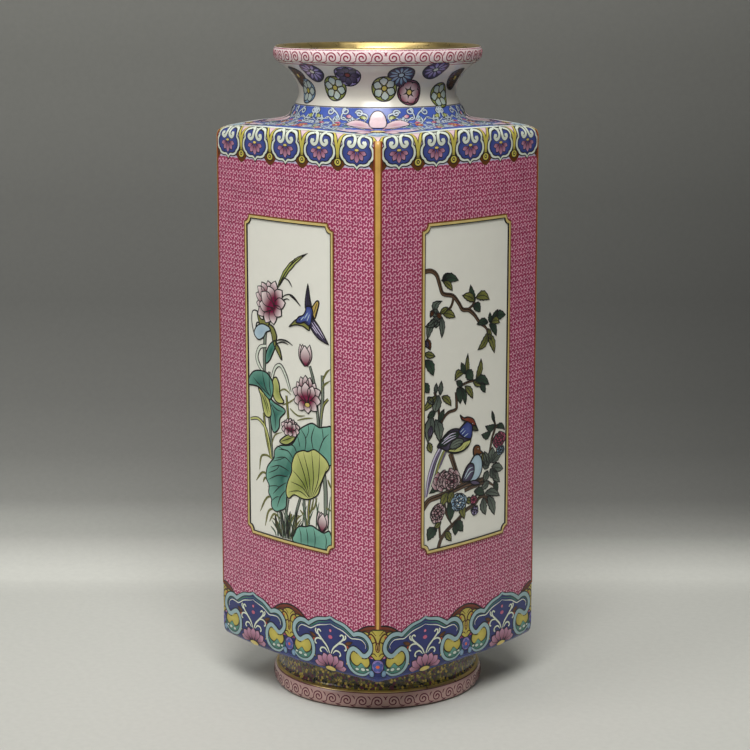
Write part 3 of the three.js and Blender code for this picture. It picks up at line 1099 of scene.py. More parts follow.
def drawn_fork():
    """What lies between two lappets, about its own middle line."""
    art = Painting()
    drop = through([(-5.6, 270.5), (-3.4, 266.8), (0, 264.7), (3.4, 266.8), (5.6, 270.5), (0, 274)], 4,
        closed=True)
    art.fill(drop, BROWN, 1, 0.5)
    art.fill([(-5, 283.2), (5, 283.2), (1.5, 276), (-1.5, 276)], PINK, 1, 0.2)
    for side in (-1, 1):
        limb = through([(0, 269.5), (0.1, 274), (0.9, 277.6), (1.8, 280.2), (3.6, 283)], 4)
        art.inked_line(limb * (side, 1), LEMON, 2, 1.5, ends=(1, 0.6), rim=0.4)
    art.fill(disc((0, 268.8), 4.8, 4.2), INK, 3)
    art.fill(disc((0, 268.8), 3.8, 3.2), LEMON, 4)
    art.fill(disc((0, 268.9), 1.9), INK, 4.5)
    art.fill(disc((0, 268.9), 0.8), BUFF, 5)
    return art


lappets = Painting()
band = [(-W, 266.6), (W, 266.6), (W, 283.2), (-W, 283.2)]
lappets.fill(band, LILAC, 0)
one_lappet, one_fork = drawn_lappet(), drawn_fork()
for step in range(-2, 3):
    lappets.stamp(one_lappet, (step * PITCH, 0))
    lappets.stamp(one_fork, ((step + 0.5) * PITCH, 0))
lappets.line([(x, 283.3) for x in np.linspace(-W, W, 40)], PALE_LINE, 9, 0.9, ends=(1, 1))
lay_on_walls("lappet_band", lappets, ROUNDED_EDGE_CUTS)

# %% [markdown]
# ## Cloud border round the base
# Two large cloud collars stand on each wall, and one half-hidden arch between them. The pale band
# of a collar runs down, turns in, and ends in a curl that holds a yellow bud. The border goes on
# under the base's curled edge.

# %% Cloud border
CLOUD = [(0, 50.4), (0, 50.4), (2.6, 49.2), (8, 48), (12, 45.9), (14.2, 44.4), (14.2, 44.4), (17.5, 45.4)]
CLOUD += [(21, 44.8), (23.7, 42), (24.1, 38.6), (22, 35.7), (19.6, 35.1), (17, 36.7), (14.4, 37.6)]
CLOUD += [(12.1, 36.1), (10.9, 33), (11.2, 29.5), (13.3, 26.7), (16.5, 25.3), (20.5, 25.6), (23.6, 27.8)]


def drawn_cloud():
    art = Painting()
    path = through(CLOUD, 5)
    head = through(CLOUD[:19], 5)
    outline = [(0, 24)] + [tuple(p) for p in head] + [(13.2, 24)]
    for side in (1, -1):
        art.fill([(side * x, y) for x, y in outline], NAVY, 2, 0.1)
    for side in (-1, 1):
        s = (side, 1)
        curl = [(14.4, 37.4), (12.1, 36.1), (10.9, 33), (11.2, 29.5), (13.3, 26.7), (16.5, 25.3)]
        curl += [(20.5, 25.6), (23.6, 27.8), (24.6, 31), (22, 34.6), (17.6, 36.8)]
        art.glow(through(curl, 3, closed=True) * s, TEAL, 3, rim=0.9, heart=0.2)
        art.inked_line(path * s, AQUA, 5, 2, ends=(0.5, 0.35), rim=0.6)
        inner = through([(0, 48.2), (3, 47.3), (8, 46.2), (12.6, 43.6), (15.6, 43.8), (19.6, 43.6),
            (22.4, 41), (22.3, 38.6)], 4)
        art.line(inner * s, TEAL, 3.6, 0.7, shade=0.8)
        thin = through([(0, 46.9), (0, 46.9), (3, 46), (8, 44.8), (12.6, 42.4), (15.6, 42.6), (19, 42.6),
            (21.3, 40.6), (21.1, 38.8)], 4)
        art.line(thin * s, PALE_LINE, 4, 0.5)
        seed = through([(20.6, 35.4), (15.4, 36.6), (12.8, 34.2), (13.4, 31), (16.4, 29.6), (18.8, 31.4),
            (21.4, 29.6), (23.4, 31.6), (22.8, 34.4)], 4, closed=True)
        art.fill(swollen(seed, (17.6, 33.4), 1.13, 1.17) * s, INK, 4)
        art.glow(seed * s, LEMON, 5, rim=0.4, heart=0)
        for at, across in (((19.8, 28.2), 2.4), ((16.4, 27.8), 2), ((22.4, 28.6), 1.6)):
            art.fill(disc((side * at[0], at[1]), across + 0.6, across * 0.8), INK, 4)
            art.fill(disc((side * at[0], at[1]), across, across * 0.6), PALE_LINE, 5, 0.5)
        stem = through([(0.2, 31.5), (1.8, 35), (5, 38), (7.6, 40.4), (8.2, 42.2), (7, 42.8), (6, 41.9)], 5)
        art.inked_line(stem * s, PALE_LINE, 6, 0.9, ends=(0.5, 0.8), rim=0.2)
        for twig in (
            [(7.4, 40.2), (8.8, 40.8), (9.6, 42), (9.2, 43)],
            [(4.6, 37.7), (7.4, 38.4), (9.4, 37.6), (9.8, 36), (8.8, 35.4)],
            [(1.6, 32.4), (3.4, 34.2), (5.6, 34), (6.4, 32.6), (5.6, 31.8)],
        ):
            art.inked_line(through(twig, 4) * s, PALE_LINE, 6, 0.75, ends=(0.4, 1), rim=0.2)
        for base, tip, width, paint in (
            ((8.6, 38.2), (13.6, 40.4), 1.9, BROWN),
            ((8.4, 38.6), (11.8, 36.8), 1.6, ORANGE),
            ((9.5, 28.5), (12.4, 31.4), 1.3, BUFF),
        ):
            shape, wash = blade(base, tip, width)
            art.fill(shape * s, paint, 5, wash, edge=INK, edge_width=0.35)
        for base, tip, width, level in (
            ((3, 25), (9.8, 26.4), 3, 7),
            ((2.6, 25.2), (8, 29.6), 3.6, 8),
            ((1.4, 25.4), (4.2, 31.6), 3.8, 9),
        ):
            petal(art, base, tip, width, PETAL, (level - 0.5, level), (0.9, 0), (1.17, 1.17), side=s)
    petal(art, (0, 25.2), (0, 32.2), 4, PETAL, (9.5, 10), (0.9, 0), (1.18, 1.12), belly=0.64)
    art.fill(disc((0, 24.6), 7, 3.2), INK, 10)
    art.fill(disc((0, 24.4), 6.2, 2.6), BUFF, 11)
    art.fill(disc((0, 43.6), 1.9), INK, 4)
    art.fill(disc((0, 43.6), 1.4), ROSE, 5)
    art.fill(disc((0, 40.4), 2.6, 1.8), ROSE, 5, 0.5)
    return art


def drawn_arch():
    """The arch between two collars, with a yellow ground and brown curls."""
    art = Painting()
    top = through([(-13.6, 44.2), (-10.5, 47.2), (-6, 49.8), (0, 51), (6, 49.8), (10.5, 47.2),
        (13.6, 44.2)], 4)
    foot = [(5.6, 40), (3.4, 36), (0, 33.4), (-3.4, 36), (-5.6, 40)]
    art.fill([tuple(p) for p in top] + foot, RUST, 1, 0.6, edge=INK, edge_width=0.7)
    scallops = through([(11.4, 44), (9, 46.6), (5.6, 47.2), (4.6, 46.6), (4.6, 46.6), (3, 48.6), (0, 49.2)],
        4)
    scallops = np.vstack([scallops, (scallops * (-1, 1))[::-1]])
    art.fill([tuple(p) for p in scallops] + [(x * -1, y) for x, y in foot], LEMON, 1.6, 0.35, edge=INK,
        edge_width=0.6)
    for side in (-1, 1):
        s = (side, 1)
        for path, width in (
            ([(0.2, 38), (0.5, 42), (1.4, 45.2), (3.4, 46.6), (5, 45.6), (4.6, 44), (3.4, 44.2)], 0.8),
            ([(0.3, 43.2), (1.8, 42.6), (3.6, 41.4), (4.2, 39.6), (3.2, 38.6)], 0.7),
            ([(0.6, 46.2), (3.4, 48.4), (7.2, 47.6), (10, 45.6)], 0.5),
            ([(0.4, 36), (1.6, 37.2), (3.2, 36.6)], 0.5),
        ):
            art.line(through(path, 5) * s, BROWN, 3, width, ends=(0.5, 0.7), shade=0.9)
        art.fill(disc((side * 3.9, 44.9), 1.3), ORANGE, 3, 0.3)
    art.fill(disc((0, 40.4), 2.2, 5), BROWN, 2)
    art.fill(disc((0, 40.4), 1.2, 3.8), BUFF, 3, 0.5)
    for at, across, tall, paint in (((0, 31), 6.2, 7, LILAC), ((-3, 27), 3.4, 4, MIST),
            ((3, 27), 3.4, 4, MIST)):
        art.fill(disc(at, across, tall), INK, 2)
        art.glow(disc(at, across - 0.8, tall - 0.8), paint, 3, rim=1, heart=0.6)
    for angle in np.linspace(0, 2 * math.pi, 6)[:-1]:
        shape, wash = blade((0, 30.8), (2.6 * math.sin(angle), 30.8 + 2.8 * math.cos(angle)), 2.2, 0.62)
        art.fill(shape, NAVY, 4, 0.9 - 0.5 * wash)
    art.fill(disc((0, 30.8), 1.5), ORANGE, 5)
    return art


border = Painting()
border.fill([(-W, 20.4), (W, 20.4), (W, 34.5), (-W, 34.5)], NAVY, 0, 0)
cloud, arch = drawn_cloud(), drawn_arch()
for at in (-0.5, 0.5):
    border.stamp(cloud, (at * W, 0))
for at in (0, 1):
    border.stamp(arch, (at * W, 0))
lay_on_walls("cloud_border", border, [21, 22, 23, 24, 25, 26, 27])

# %% [markdown]
# ## Flowers and scrolls on the shoulder
# A large lotus lies above each corner, with scrolling tendrils, small blooms and buds on both
# sides. They are drawn as seen from above, with the corner straight ahead, and turned four times.

# %% Shoulder flowers
def spiral(centre, radius, start, turns, tail=()):
    """A tendril: an optional tail, then a curl that winds in about a centre."""
    angles = np.linspace(0, turns * 2 * math.pi, max(int(abs(turns) * 14), 6))
    reach = np.linspace(radius, radius * 0.3, len(angles))
    curl = np.stack([centre[0] + reach * np.cos(start + angles),
        centre[1] + reach * np.sin(start + angles)], axis=1)
    if not tail:
        return curl
    return np.vstack([through(list(tail) + [tuple(curl[0])], 5)[:-1], curl])


def drawn_lotus_head():
    """A lotus seen from the side, opening towards the neck."""
    art = Painting()
    for side in (-1, 1):
        s = (1, side)
        for base, tip, width, bend, level in (
            ((60, 2), (55, 19.5), 3.6, -0.1, 6), ((62, 2), (59.6, 15.6), 4.4, 0.04, 7),
            ((64, 1.5), (65, 10.2), 3.8, 0.05, 8), ((58, 2), (50, 11.5), 4.6, 0.08, 7),
        ):
            petal(art, base, tip, width, PINK, (level - 0.5, level), (0.7, 0), (1.06, 1.12), 0.62, s, bend)
        side_petal = [(54, 2.4), (48, 3.4), (43.6, 6.4), (41.6, 10.4), (43.2, 14.2), (46.6, 14.6),
            (50.4, 11), (54.4, 6)]
        art.glow(through(side_petal, 4, closed=True) * s, PINK, 9, rim=0, heart=0.6, edge=INK,
            edge_width=0.5)
    heart_petal = [(54, -2.6), (48, -4.1), (42, -3.8), (38.8, -2), (38, 0), (38.8, 2), (42, 3.8), (48, 4.1),
        (54, 2.6)]
    art.glow(through(heart_petal, 4, closed=True), PINK, 12, rim=0, heart=0.2, centre=(53, 0), edge=INK,
        edge_width=0.5)
    art.fill(disc((62.6, 0), 4.4, 7.4), INK, 13.5)
    art.fill(disc((62.6, 0), 3.6, 6.6), BUFF, 15, 0.3)
    for base, tip, width in (((65, 0), (71.5, 0), 4), ((65, 1), (70.5, 4.5), 3.2),
            ((65, -1), (70.5, -4.5), 3.2)):
        shape, wash = blade(base, tip, width, 0.5)
        art.fill(shape, MIST, 9, wash * 0.6)
    return art


def drawn_shoulder_corner():
    art = Painting()
    for side in (-1, 1):
        s = (1, side)
        for path in (
            spiral((54, 17.5), 3.4, 2.6, -1.2, [(57, 6), (52, 11)]),
            spiral((60, 12.4), 2.2, 3.6, 1.2, [(63.6, 6.4), (60, 9.6)]),
            spiral((47.4, 25.2), 3, 3, 1.25, [(53.5, 15), (53, 21)]),
            spiral((44.8, 13), 2.6, 0.2, 1.2, [(52.5, 12), (49, 13.5)]),
            spiral((51, 23.4), 2.1, 3.4, -1.2, [(49.4, 20.5), (51.4, 21.6)]),
            spiral((40.5, 33.5), 3, 1, -1.3, [(49.5, 29.5), (45.5, 31)]),
            spiral((42.1, 33.1), 2.1, 3.6, -1.2, [(42.4, 29.6), (43.6, 31.4)]),
            spiral((39.6, 24.5), 2.2, 0.6, 1.2, [(46.5, 25.5), (43, 26.5)]),
            spiral((65, 7.2), 1.6, 3.4, 1.2, [(66.6, 3), (65, 5.4)]),
            spiral((49.2, 19.6), 1.5, 0.4, 1.1),
            spiral((56.2, 18.8), 1.3, 2.4, 1.1),
            spiral((41.5, 28.5), 1.4, 2.4, 1.1),
            spiral((41.4, 11.2), 1.9, 3, -1.2, [(46.4, 16.5), (44.8, 12.5)]),
            spiral((38.2, 19.2), 1.9, 3.4, -1.2, [(43, 23.5), (41.8, 20.4)]),
            spiral((33.2, 26.6), 1.9, 3.8, -1.2, [(38.4, 30.6), (36.8, 27.2)]),
            spiral((40.5, 19.2), 1.8, 2.6, -1.2, [(42.5, 15), (42.6, 17.5)]),
            spiral((35.2, 27.4), 1.8, 2.2, -1.2, [(38.6, 22.2), (38.4, 25)]),
            spiral((32.6, 31.2), 1.6, 5.4, 1.2, [(36.4, 29.6), (35, 31.2)]),
        ):
            art.inked_line(path * s, SCROLL_BLUE, 3, 0.75, ends=(0.5, 1), rim=0.26)
        for path in (
            spiral((38.4, 8.2), 1.8, 2, 1.25, [(43.6, 6.4), (41.4, 4.8), (39.4, 5.4)]),
            spiral((35.6, 13.8), 1.8, 3.4, -1.25, [(40.4, 12.2), (39.8, 15.6), (37.6, 16.6)]),
            spiral((32.6, 20.6), 1.8, 3.6, 1.25, [(39.4, 17.6), (36.8, 17.8), (34.6, 18.2)]),
            spiral((27.8, 26.2), 1.8, 4, -1.25, [(35.2, 23.2), (32.8, 27), (30, 28.4)]),
        ):
            art.inked_line(path * s, SCROLL_BLUE, 6, 0.62, ends=(0.5, 1), rim=0.24)
        vine = [(43.4, 7), (41.4, 11), (44.2, 17), (41.3, 22.5), (44.2, 28), (41.3, 33.5), (44.2, 39.5),
            (42.4, 45)]
        vine = [(r * math.cos(math.radians(a)), r * math.sin(math.radians(a))) for r, a in vine]
        art.inked_line(through(vine, 6) * s, SCROLL_BLUE, 4.5, 0.6, ends=(0.6, 0.6), rim=0.24)
        for r, a, lean, paint in ((41.6, 7, 3.2, LEAF), (44.6, 12, -2.6, MIST), (41, 16.8, 2.4, PINK),
                (45.4, 22.4, 2.8, ROSE),
                                  (41.2, 28, -2.4, MIST), (45.6, 33.6, 2.8, ROSE), (41, 39.5, 2.6, LEAF)):
            a = math.radians(a)
            base = np.array((r * math.cos(a), r * math.sin(a)))
            tip = base + (-lean * math.sin(a) - 0.5, lean * math.cos(a))
            petal(art, base, tip, 1.7, paint, (5, 6.5), (0, 1), (1.2, 1.3), 0.5, s)
        for at, size, paint in (((46.8, 28.4), 1.9, ROSE), ((44.5, 19.5), 2.2, ORANGE),
                ((58.3, 12.5), 1.8, ROSE),
                                ((36.4, 35), 2.2, ORANGE), ((39.2, 36.4), 1.6, ROSE),
                                    ((49.8, 10.4), 1.7, ROSE)):
            for step in range(5):
                angle = 2 * math.pi * step / 5 + at[0]
                tip = (at[0] + size * math.cos(angle), at[1] + size * math.sin(angle))
                petal(art, at, tip, size * 0.9, paint, (3.4, 4), (1, 0), (1.2, 1.25), 0.6, s, steps=4)
            art.fill(disc((at[0], at[1] * side), size * 0.55), BUFF, 5)
        for base, tip, width, paint in (
            ((51.8, 19), (54, 21.8), 1.7, LEAF), ((44.4, 27.4), (44.8, 31.2), 1.7, LEAF),
                ((60, 9), (63.5, 12), 1.5, TEAL),
            ((52, 13), (48, 16.5), 1.6, TEAL), ((43, 30), (38.5, 29), 1.5, LEAF),
                ((66.5, 4), (69.5, 5.5), 1.5, LEAF),
            ((55, 22.5), (57.5, 18.5), 1.4, MIST), ((46.5, 22.5), (42.5, 21.5), 1.4, MIST),
        ):
            petal(art, base, tip, width, paint, (3.4, 4), (0, 0.8), (1.12, 1.2), 0.5, s)
    art.stamp(drawn_lotus_head())
    return art


CORNERS = ["back_right", "back_left", "front_left", "front_right"]
corner_art = Painting()
corner_art.stamp(drawn_shoulder_corner(), turn=QUARTER / 2)
cove_cuts = [14 + 1.6 * step for step in range(24)]
corner_piece = lay("shoulder_scrolls_back_right", corner_art, on_shoulder, cove_cuts, cove_cuts)
for turns in (1, 2, 3):
    turned_copy(corner_piece, f"shoulder_scrolls_{CORNERS[turns]}", turns)

# %% [markdown]
# ## Lip and foot scrolls
# The lip and the foot's flange have the same running scroll, mirrored about the front. It is drawn
# once, and stamped all the way round.

# %% Running scrolls
FRONT = -math.pi / 4
LIP_OUTSIDE = through([(47.8, 311.6)] + LIP_ROLL[:4], 8)
FLANGE_OUTSIDE = through(FOOT_FLANGE[::-1], 8)[::-1]


def drawn_scroll(paint):
    art = Painting()
    turns = np.linspace(0, 1.55 * 2 * math.pi, 26)
    radius = np.interp(turns, [0, turns[-1]], [1.95, 0.35])
    winding = np.stack([-radius * np.cos(turns), radius * np.sin(turns)], axis=1)
    tail = through([(-3.9, -1.7), (-2.9, -1.5), (-1.9, -0.8)], 4)[:-1]
    art.line(np.vstack([tail, winding]), paint, 2, 0.38, ends=(0.6, 1.3))
    art.line(through([(1.2, -1.5), (2.2, -2), (3.2, -1.8)], 3), paint, 2, 0.36)
    art.line(through([(1.9, 1.9), (2.6, 1.4), (2.9, 0.6)], 3), paint, 2, 0.36)
    return art


def scroll_band(name, profile, from_seam, stretch, paint):
    place, mean, length = on_profile(profile)
    count = 43
    art, scroll = Painting(), drawn_scroll(paint)
    for step in range(count):
        angle = (step - count // 2) * 2 * math.pi / count
        art.stamp(scroll, ((angle + FRONT) * mean, length * from_seam), mirror=angle > 0, size=stretch)
    for up in (0.06, 0.94):
        ring = [(angle * mean, up * length) for angle in np.linspace(0, 2 * math.pi, 181)]
        art.line(ring, paint, 2, 0.45, ends=(1, 1))
    return lay(name, art, place)


scroll_band("lip_scrolls", LIP_OUTSIDE, 0.54, 1.42, CRIMSON)
scroll_band("foot_scrolls", FLANGE_OUTSIDE, 0.5, 1.42, PLUM)

# %% [markdown]
# ## Round flower heads on the neck
# The neck carries round flower heads, scattered, with no two alike next to each other. One half
# of the neck is drawn, and the other half is the same, turned half round.

# %% Roundels

def drawn_roundel(kind):
    """A round flower head. Its kind sets the petals, their colours and the middle."""
    petals, ground, paint, heart, spread = kind
    art = Painting()
    art.fill(disc((0, 0), 7.5, steps=30), INK, 1)
    art.glow(disc((0, 0), 6.8, steps=30), ground, 2, rim=0.8, heart=0.2)
    for step in range(petals):
        angle = 2 * math.pi * step / petals + 0.2
        tip = (3.2 * math.sin(angle), 3.2 * math.cos(angle))
        base = (tip[0] * 0.15, tip[1] * 0.15)
        petal(art, base, tip, spread, paint, (3, 4), (0, 1), (1.28, 1.28), steps=5)
    art.fill(disc((0, 0), 2), INK, 5)
    art.fill(disc((0, 0), 1.3), heart, 6)
    return art


ROUNDELS = [
    (8, BARK, BROWN, BUFF, 1.2),
    (6, MIST, PALE_LINE, LEMON, 2),
    (6, LEAF, PALE_LINE, LEMON, 2.1),
    (8, LILAC, DUSK, RUST, 1.7),
    (12, DUSK, MIST, MIST, 0.7),
    (6, PETAL, BLUSH, BUFF, 2.6),
    (6, LEMON, LEAF, LEMON, 2.2),
    (10, DUSK, LILAC, PALE_LINE, 0.9),
]
ROUNDEL_PLACES = [(-66, 306, 0), (-59, 299, 1), (-31, 301, 2), (-19.5, 307.3, 3), (4.5, 301, 2),
    (15, 307.3, 4)]
ROUNDEL_PLACES += [(22.5, 299, 5), (37, 309.6, 7), (49, 297, 2), (64, 305, 0), (-45, 308.5, 7)]
neck_rule, neck_mean, neck_length = on_profile(neck_outer[2:43])
neck_heights = neck_outer[2:43, 1]
neck_walk = walk(neck_outer[2:43])
neck_art = Painting()
heads = [drawn_roundel(kind) for kind in ROUNDELS]
for degrees, z, kind in ROUNDEL_PLACES:
    up, radius = (np.interp(z, neck_heights, along) for along in (neck_walk, neck_outer[2:43, 0]))
    across = (math.radians(degrees) + FRONT) * neck_mean
    neck_art.stamp(heads[kind], (across, up), size=1.75, turn=degrees)
neck_cuts = [neck_mean * (math.radians(degrees) + FRONT) for degrees in range(-81, 82, 3)]
neck_cuts_up = list(np.arange(1, neck_length, 1.1))
neck_half = lay("neck_roundels_front", neck_art, neck_rule, neck_cuts, neck_cuts_up)
turned_copy(neck_half, "neck_roundels_back", 2)
neck_lines = Painting()
for z, width, paint in ((313.2, 0.45, CRIMSON), (311.9, 0.4, CRIMSON), (292.1, 0.4, INK)):
    up = np.interp(z, neck_heights, neck_walk)
    neck_lines.line([(a * neck_mean, up) for a in np.linspace(0, 2 * math.pi, 181)], paint, 2, width,
        ends=(1, 1))
lay("neck_lines", neck_lines, neck_rule)

# %% [markdown]
# ## Brushes for the pictures
# The two pictures are the usual pair for such vases: lotuses with a kingfisher, and long-tailed
# birds in a flowering tree. Both are built from a few kinds of stroke: an inked leaf, a flower
# with rings of petals, a bud, a stem with two edges, and a free shape.

# %% Picture colours and brushes
def inked(art, points, paint, level, shade=0):
    """A free shape with a soft outline and an inked edge."""
    art.fill(through(points, 4, closed=True), paint, level, shade, edge=INK, edge_width=0.66)


def washed(art, points, paint, level, rim, heart, centre=None):
    """A free shape with an inked edge, washed from its rim to its heart."""
    art.glow(through(points, 4, closed=True), paint, level, rim, heart, centre, edge=INK, edge_width=0.7)


def leaf(art, base, tip, width, paint, level, bend=0, wash_from=0.9, wash_to=0.1):
    """A leaf, darker at its stem, with an uneven inked edge, a middle vein and side veins."""
    outline, along = blade(base, tip, width, 0.45, bend, steps=9)
    middle = (outline[:10] + np.vstack([outline[:1], outline[:8:-1]])) / 2
    ripple = np.where(np.arange(18) % 2, 1.1, 0.92)[:, None]
    mirror = np.minimum(np.arange(18), 18 - np.arange(18))
    jagged = middle[mirror] + (outline - middle[mirror]) * ripple
    art.fill(jagged, paint, level, wash_from + (wash_to - wash_from) * along, edge=INK, edge_width=0.52)
    art.line(middle, INK, level + 0.7, 0.4)
    if width > 2.9:
        for start, end in ((2, 4), (4, 6), (6, 8)):
            for edge in (end, 18 - end):
                art.line([middle[start], middle[start] * 0.3 + jagged[edge] * 0.7], INK, level + 0.7, 0.3)


def leaves(art, paint, level, *shapes):
    """Several leaves. Each is its stem's place, its tip's place, its width and its bend."""
    for x, y, tip_x, tip_y, width, *bend in shapes:
        leaf(art, (x, y), (tip_x, tip_y), width, paint, level, *bend)


def blossom(art, centre, radius, petals, paint, level, squash=1, rings=(1, 0.7, 0.42), turn=0):
    """Rings of petals, each ring smaller and laid over the last. Only the tips are pale."""
    for ring, share in enumerate(rings):
        count = max(petals - 2 * ring, 4)
        for step in range(count):
            angle = turn + ring * 0.5 + 2 * math.pi * step / count
            reach = radius * share * (1.0 + 0.13 * math.sin(5.0 * step + 2.0 * ring + 7 * turn))
            way = np.array([math.cos(angle), squash * math.sin(angle)]) * reach
            width = 2.7 * radius * share * math.pi / count * (0.8 + 0.2 * squash)
            outline, along = blade(centre + way * 0.1, centre + way, width, 0.68, steps=6)
            shade = np.clip(1.9 - 1.7 * along, 0, 1)
            art.fill(outline, paint, level + ring, shade, edge=INK, edge_width=0.44)


LOTUS_PETALS = [((-2, 0), (-6.2, 7.2), 4.4), ((2, 0), (6.6, 6.8), 4.4), ((-1, 1), (-3.2, 9.8), 4.2),
    ((1, 1), (3.4, 9.6), 4.2), ((0, 1), (0.2, 10.6), 4.4), ((-1, 0), (-9.8, 3.4), 5), ((1, 0), (9.8, 3), 5),
    ((-1, -1), (-9.2, -2.6), 5.2), ((1, -1), (9.4, -2.6), 5.2), ((0, -1), (-6.2, -7), 5),
    ((0, -1), (6.4, -7.2), 5), ((0, -1), (0.2, -8.6), 5.2), ((-1.4, -3), (-5, 5.4), 5.4),
    ((1.4, -3), (5, 5.2), 5.4), ((0, -4), (-0.2, 7.2), 6.4)]


def lotus(art, centre, size, level, turn=0, squash=1):
    """An open lotus seen from the side: pale petals behind, deeper ones before them."""
    c, s = math.cos(turn) * size, math.sin(turn) * size
    for step, (base, tip, width) in enumerate(LOTUS_PETALS):
        ends = [(centre[0] + x * c - y * s, centre[1] + (x * s + y * c) * squash) for x, y in (base, tip)]
        outline, along = blade(*ends, width * size, 0.62)
        art.fill(outline, BLUSH, level + 0.5 * step, np.clip(1.9 - 2.1 * along, 0, 1), edge=INK,
            edge_width=0.5)


def bud(art, centre, wide, tall, level, turn=0):
    """A lotus bud: two side petals behind, and one in front, pale above and rose below."""
    c, s = math.cos(turn), math.sin(turn)

    def place(x, y):
        return (centre[0] + x * c - y * s, centre[1] + x * s + y * c)

    for side, lean, size in ((-1, 0.36, 0.5), (1, 0.36, 0.5), (-1, 0.16, 0.5), (0, 0, 0.72)):
        base, tip = place(side * wide * 0.1, -tall / 2), place(side * wide * lean,
            tall / 2 * (1.0 if side else 0.92))
        outline, along = blade(base, tip, wide * size, 0.5)
        art.fill(outline, BLUSH, level, np.clip(1.15 - 1.3 * along, 0, 1), edge=INK, edge_width=0.5)
        level += 0.8


def stem(art, path, level, paint, width):
    art.inked_line(through(path, 5), paint, level, width, ends=(0.9, 0.6), rim=0.45)


def strokes(art, paint, level, width, *paths):
    for path in paths:
        art.line(through(path, 4), paint, level, width * 1.45, ends=(0.5, 0.2))


# %% [markdown]
# ## Lotus pond and kingfisher
# Lotus leaves fill the foot of the picture, with flowers and buds above, a reed that leans out to
# the upper right, and a kingfisher that dives towards the middle.

# %% Stems and grass
def draw_stems(art):
    """Stems behind everything, and the grass and weed at the foot."""
    for path, width in (
        ([(-12.5, 190), (-15.5, 184), (-16.4, 174), (-16.6, 162)], 2.2),
        ([(-13, 165), (-13.5, 150), (-12.5, 136), (-11, 122)], 1.5),
        ([(-17.5, 144), (-16, 134), (-12.4, 122)], 1.1),
        ([(15.4, 171.5), (17.8, 165), (19, 158), (20.5, 147), (20.5, 138)], 1.4),
        ([(23.4, 168), (23.6, 158), (22.6, 148), (22, 140)], 1.7),
        ([(27, 157), (24, 153.5), (22.6, 147)], 1),
        ([(-0.6, 155), (0.2, 148), (1, 140)], 0.9),
        ([(0, 104), (-1.6, 96), (-2.2, 84)], 1.6),
        ([(-6, 97), (-4.6, 91), (-4.2, 84)], 1.3),
        ([(9, 107), (5.4, 97), (3.4, 84)], 1.3),
        ([(11, 107), (11.4, 99), (12.4, 92)], 1.3),
        ([(24, 122), (25.2, 112), (25, 98)], 2.4),
        ([(15, 107), (14, 100), (14.4, 94)], 1),
        ([(22.6, 93), (22.4, 84)], 1.3),
        ([(2, 97), (0.8, 90), (0.4, 84)], 1.1),
    ):
        stem(art, path, 2, SLATE if width > 1.2 else MOSS, width * 0.7)
    stem(art, [(-28, 139.4), (-22, 140.4), (-16.5, 137), (-13.6, 130), (-12, 122)], 2.6, LEAF, 0.9)
    strokes(art, OLIVE, 3, 0.75, [(-11.5, 122), (-16, 123.2), (-20, 121.5), (-21.2, 115)],
        [(-13.6, 113), (-19, 114), (-24, 109)], [(-14, 111.5), (-17, 111.6), (-18.6, 109)],
        [(-10, 103.5), (-16, 101.6), (-21, 94)], [(-9, 97.5), (-14.4, 95.4), (-17.2, 87.4)],
        [(-5.6, 93), (-10.4, 94.6), (-14, 90)], [(-4.4, 84), (-7.6, 90.6), (-12, 92.4)],
        [(1.4, 84), (5.6, 91.6), (9, 95.6)], [(0.6, 90), (4, 96), (8, 97)],
        [(3.6, 84), (5.4, 94), (10, 98)], [(8.4, 100), (12.6, 96), (13.4, 91)],
        [(17.4, 107), (16, 101.6), (14, 98)], [(19.6, 108), (18, 103), (15, 100.6)],
        [(26.6, 118), (28.6, 114)], [(25.4, 104), (28.6, 103)], [(23.4, 165), (26, 169.6), (28.6, 171.6)],
        [(22.6, 160), (24.6, 163.5), (28.4, 166)])
    leaves(art, MOSS, 3, (-2, 85, -4.6, 97, 1.7, 0.05), (1.6, 85, 6, 99, 1.8, -0.06),
        (-0.4, 86, 1.4, 98, 1.6))
    leaves(art, OLIVE, 3, (-4, 84, -9.4, 94.6, 1.8, 0.12), (3, 85, 9.6, 93.6, 1.7, -0.1),
        (0, 84, -1, 94, 1.5))
    for root, top, lean in (
        (-7, 91, -5), (-5.6, 98, -3), (-3.4, 95, 4), (-2.4, 101, -6), (-1, 97, 5), (0.6, 102, -3),
        (1.8, 98, -6), (2.6, 101, 4), (4, 97, -5), (4.6, 95, 5), (-9, 88, -4), (12.6, 104, -3),
            (14, 101, 3),
        (10, 103, 3), (19, 106, 2), (20.6, 108, -2), (26.6, 110, 1.6), (-8, 92, 2),
    ):
        low = 92 if root > 9 else 84
        path = [(root, low), (root + lean * 0.25, (low + top) / 2), (root + lean, top)]
        strokes(art, PINE, 3.4, 0.5, path)


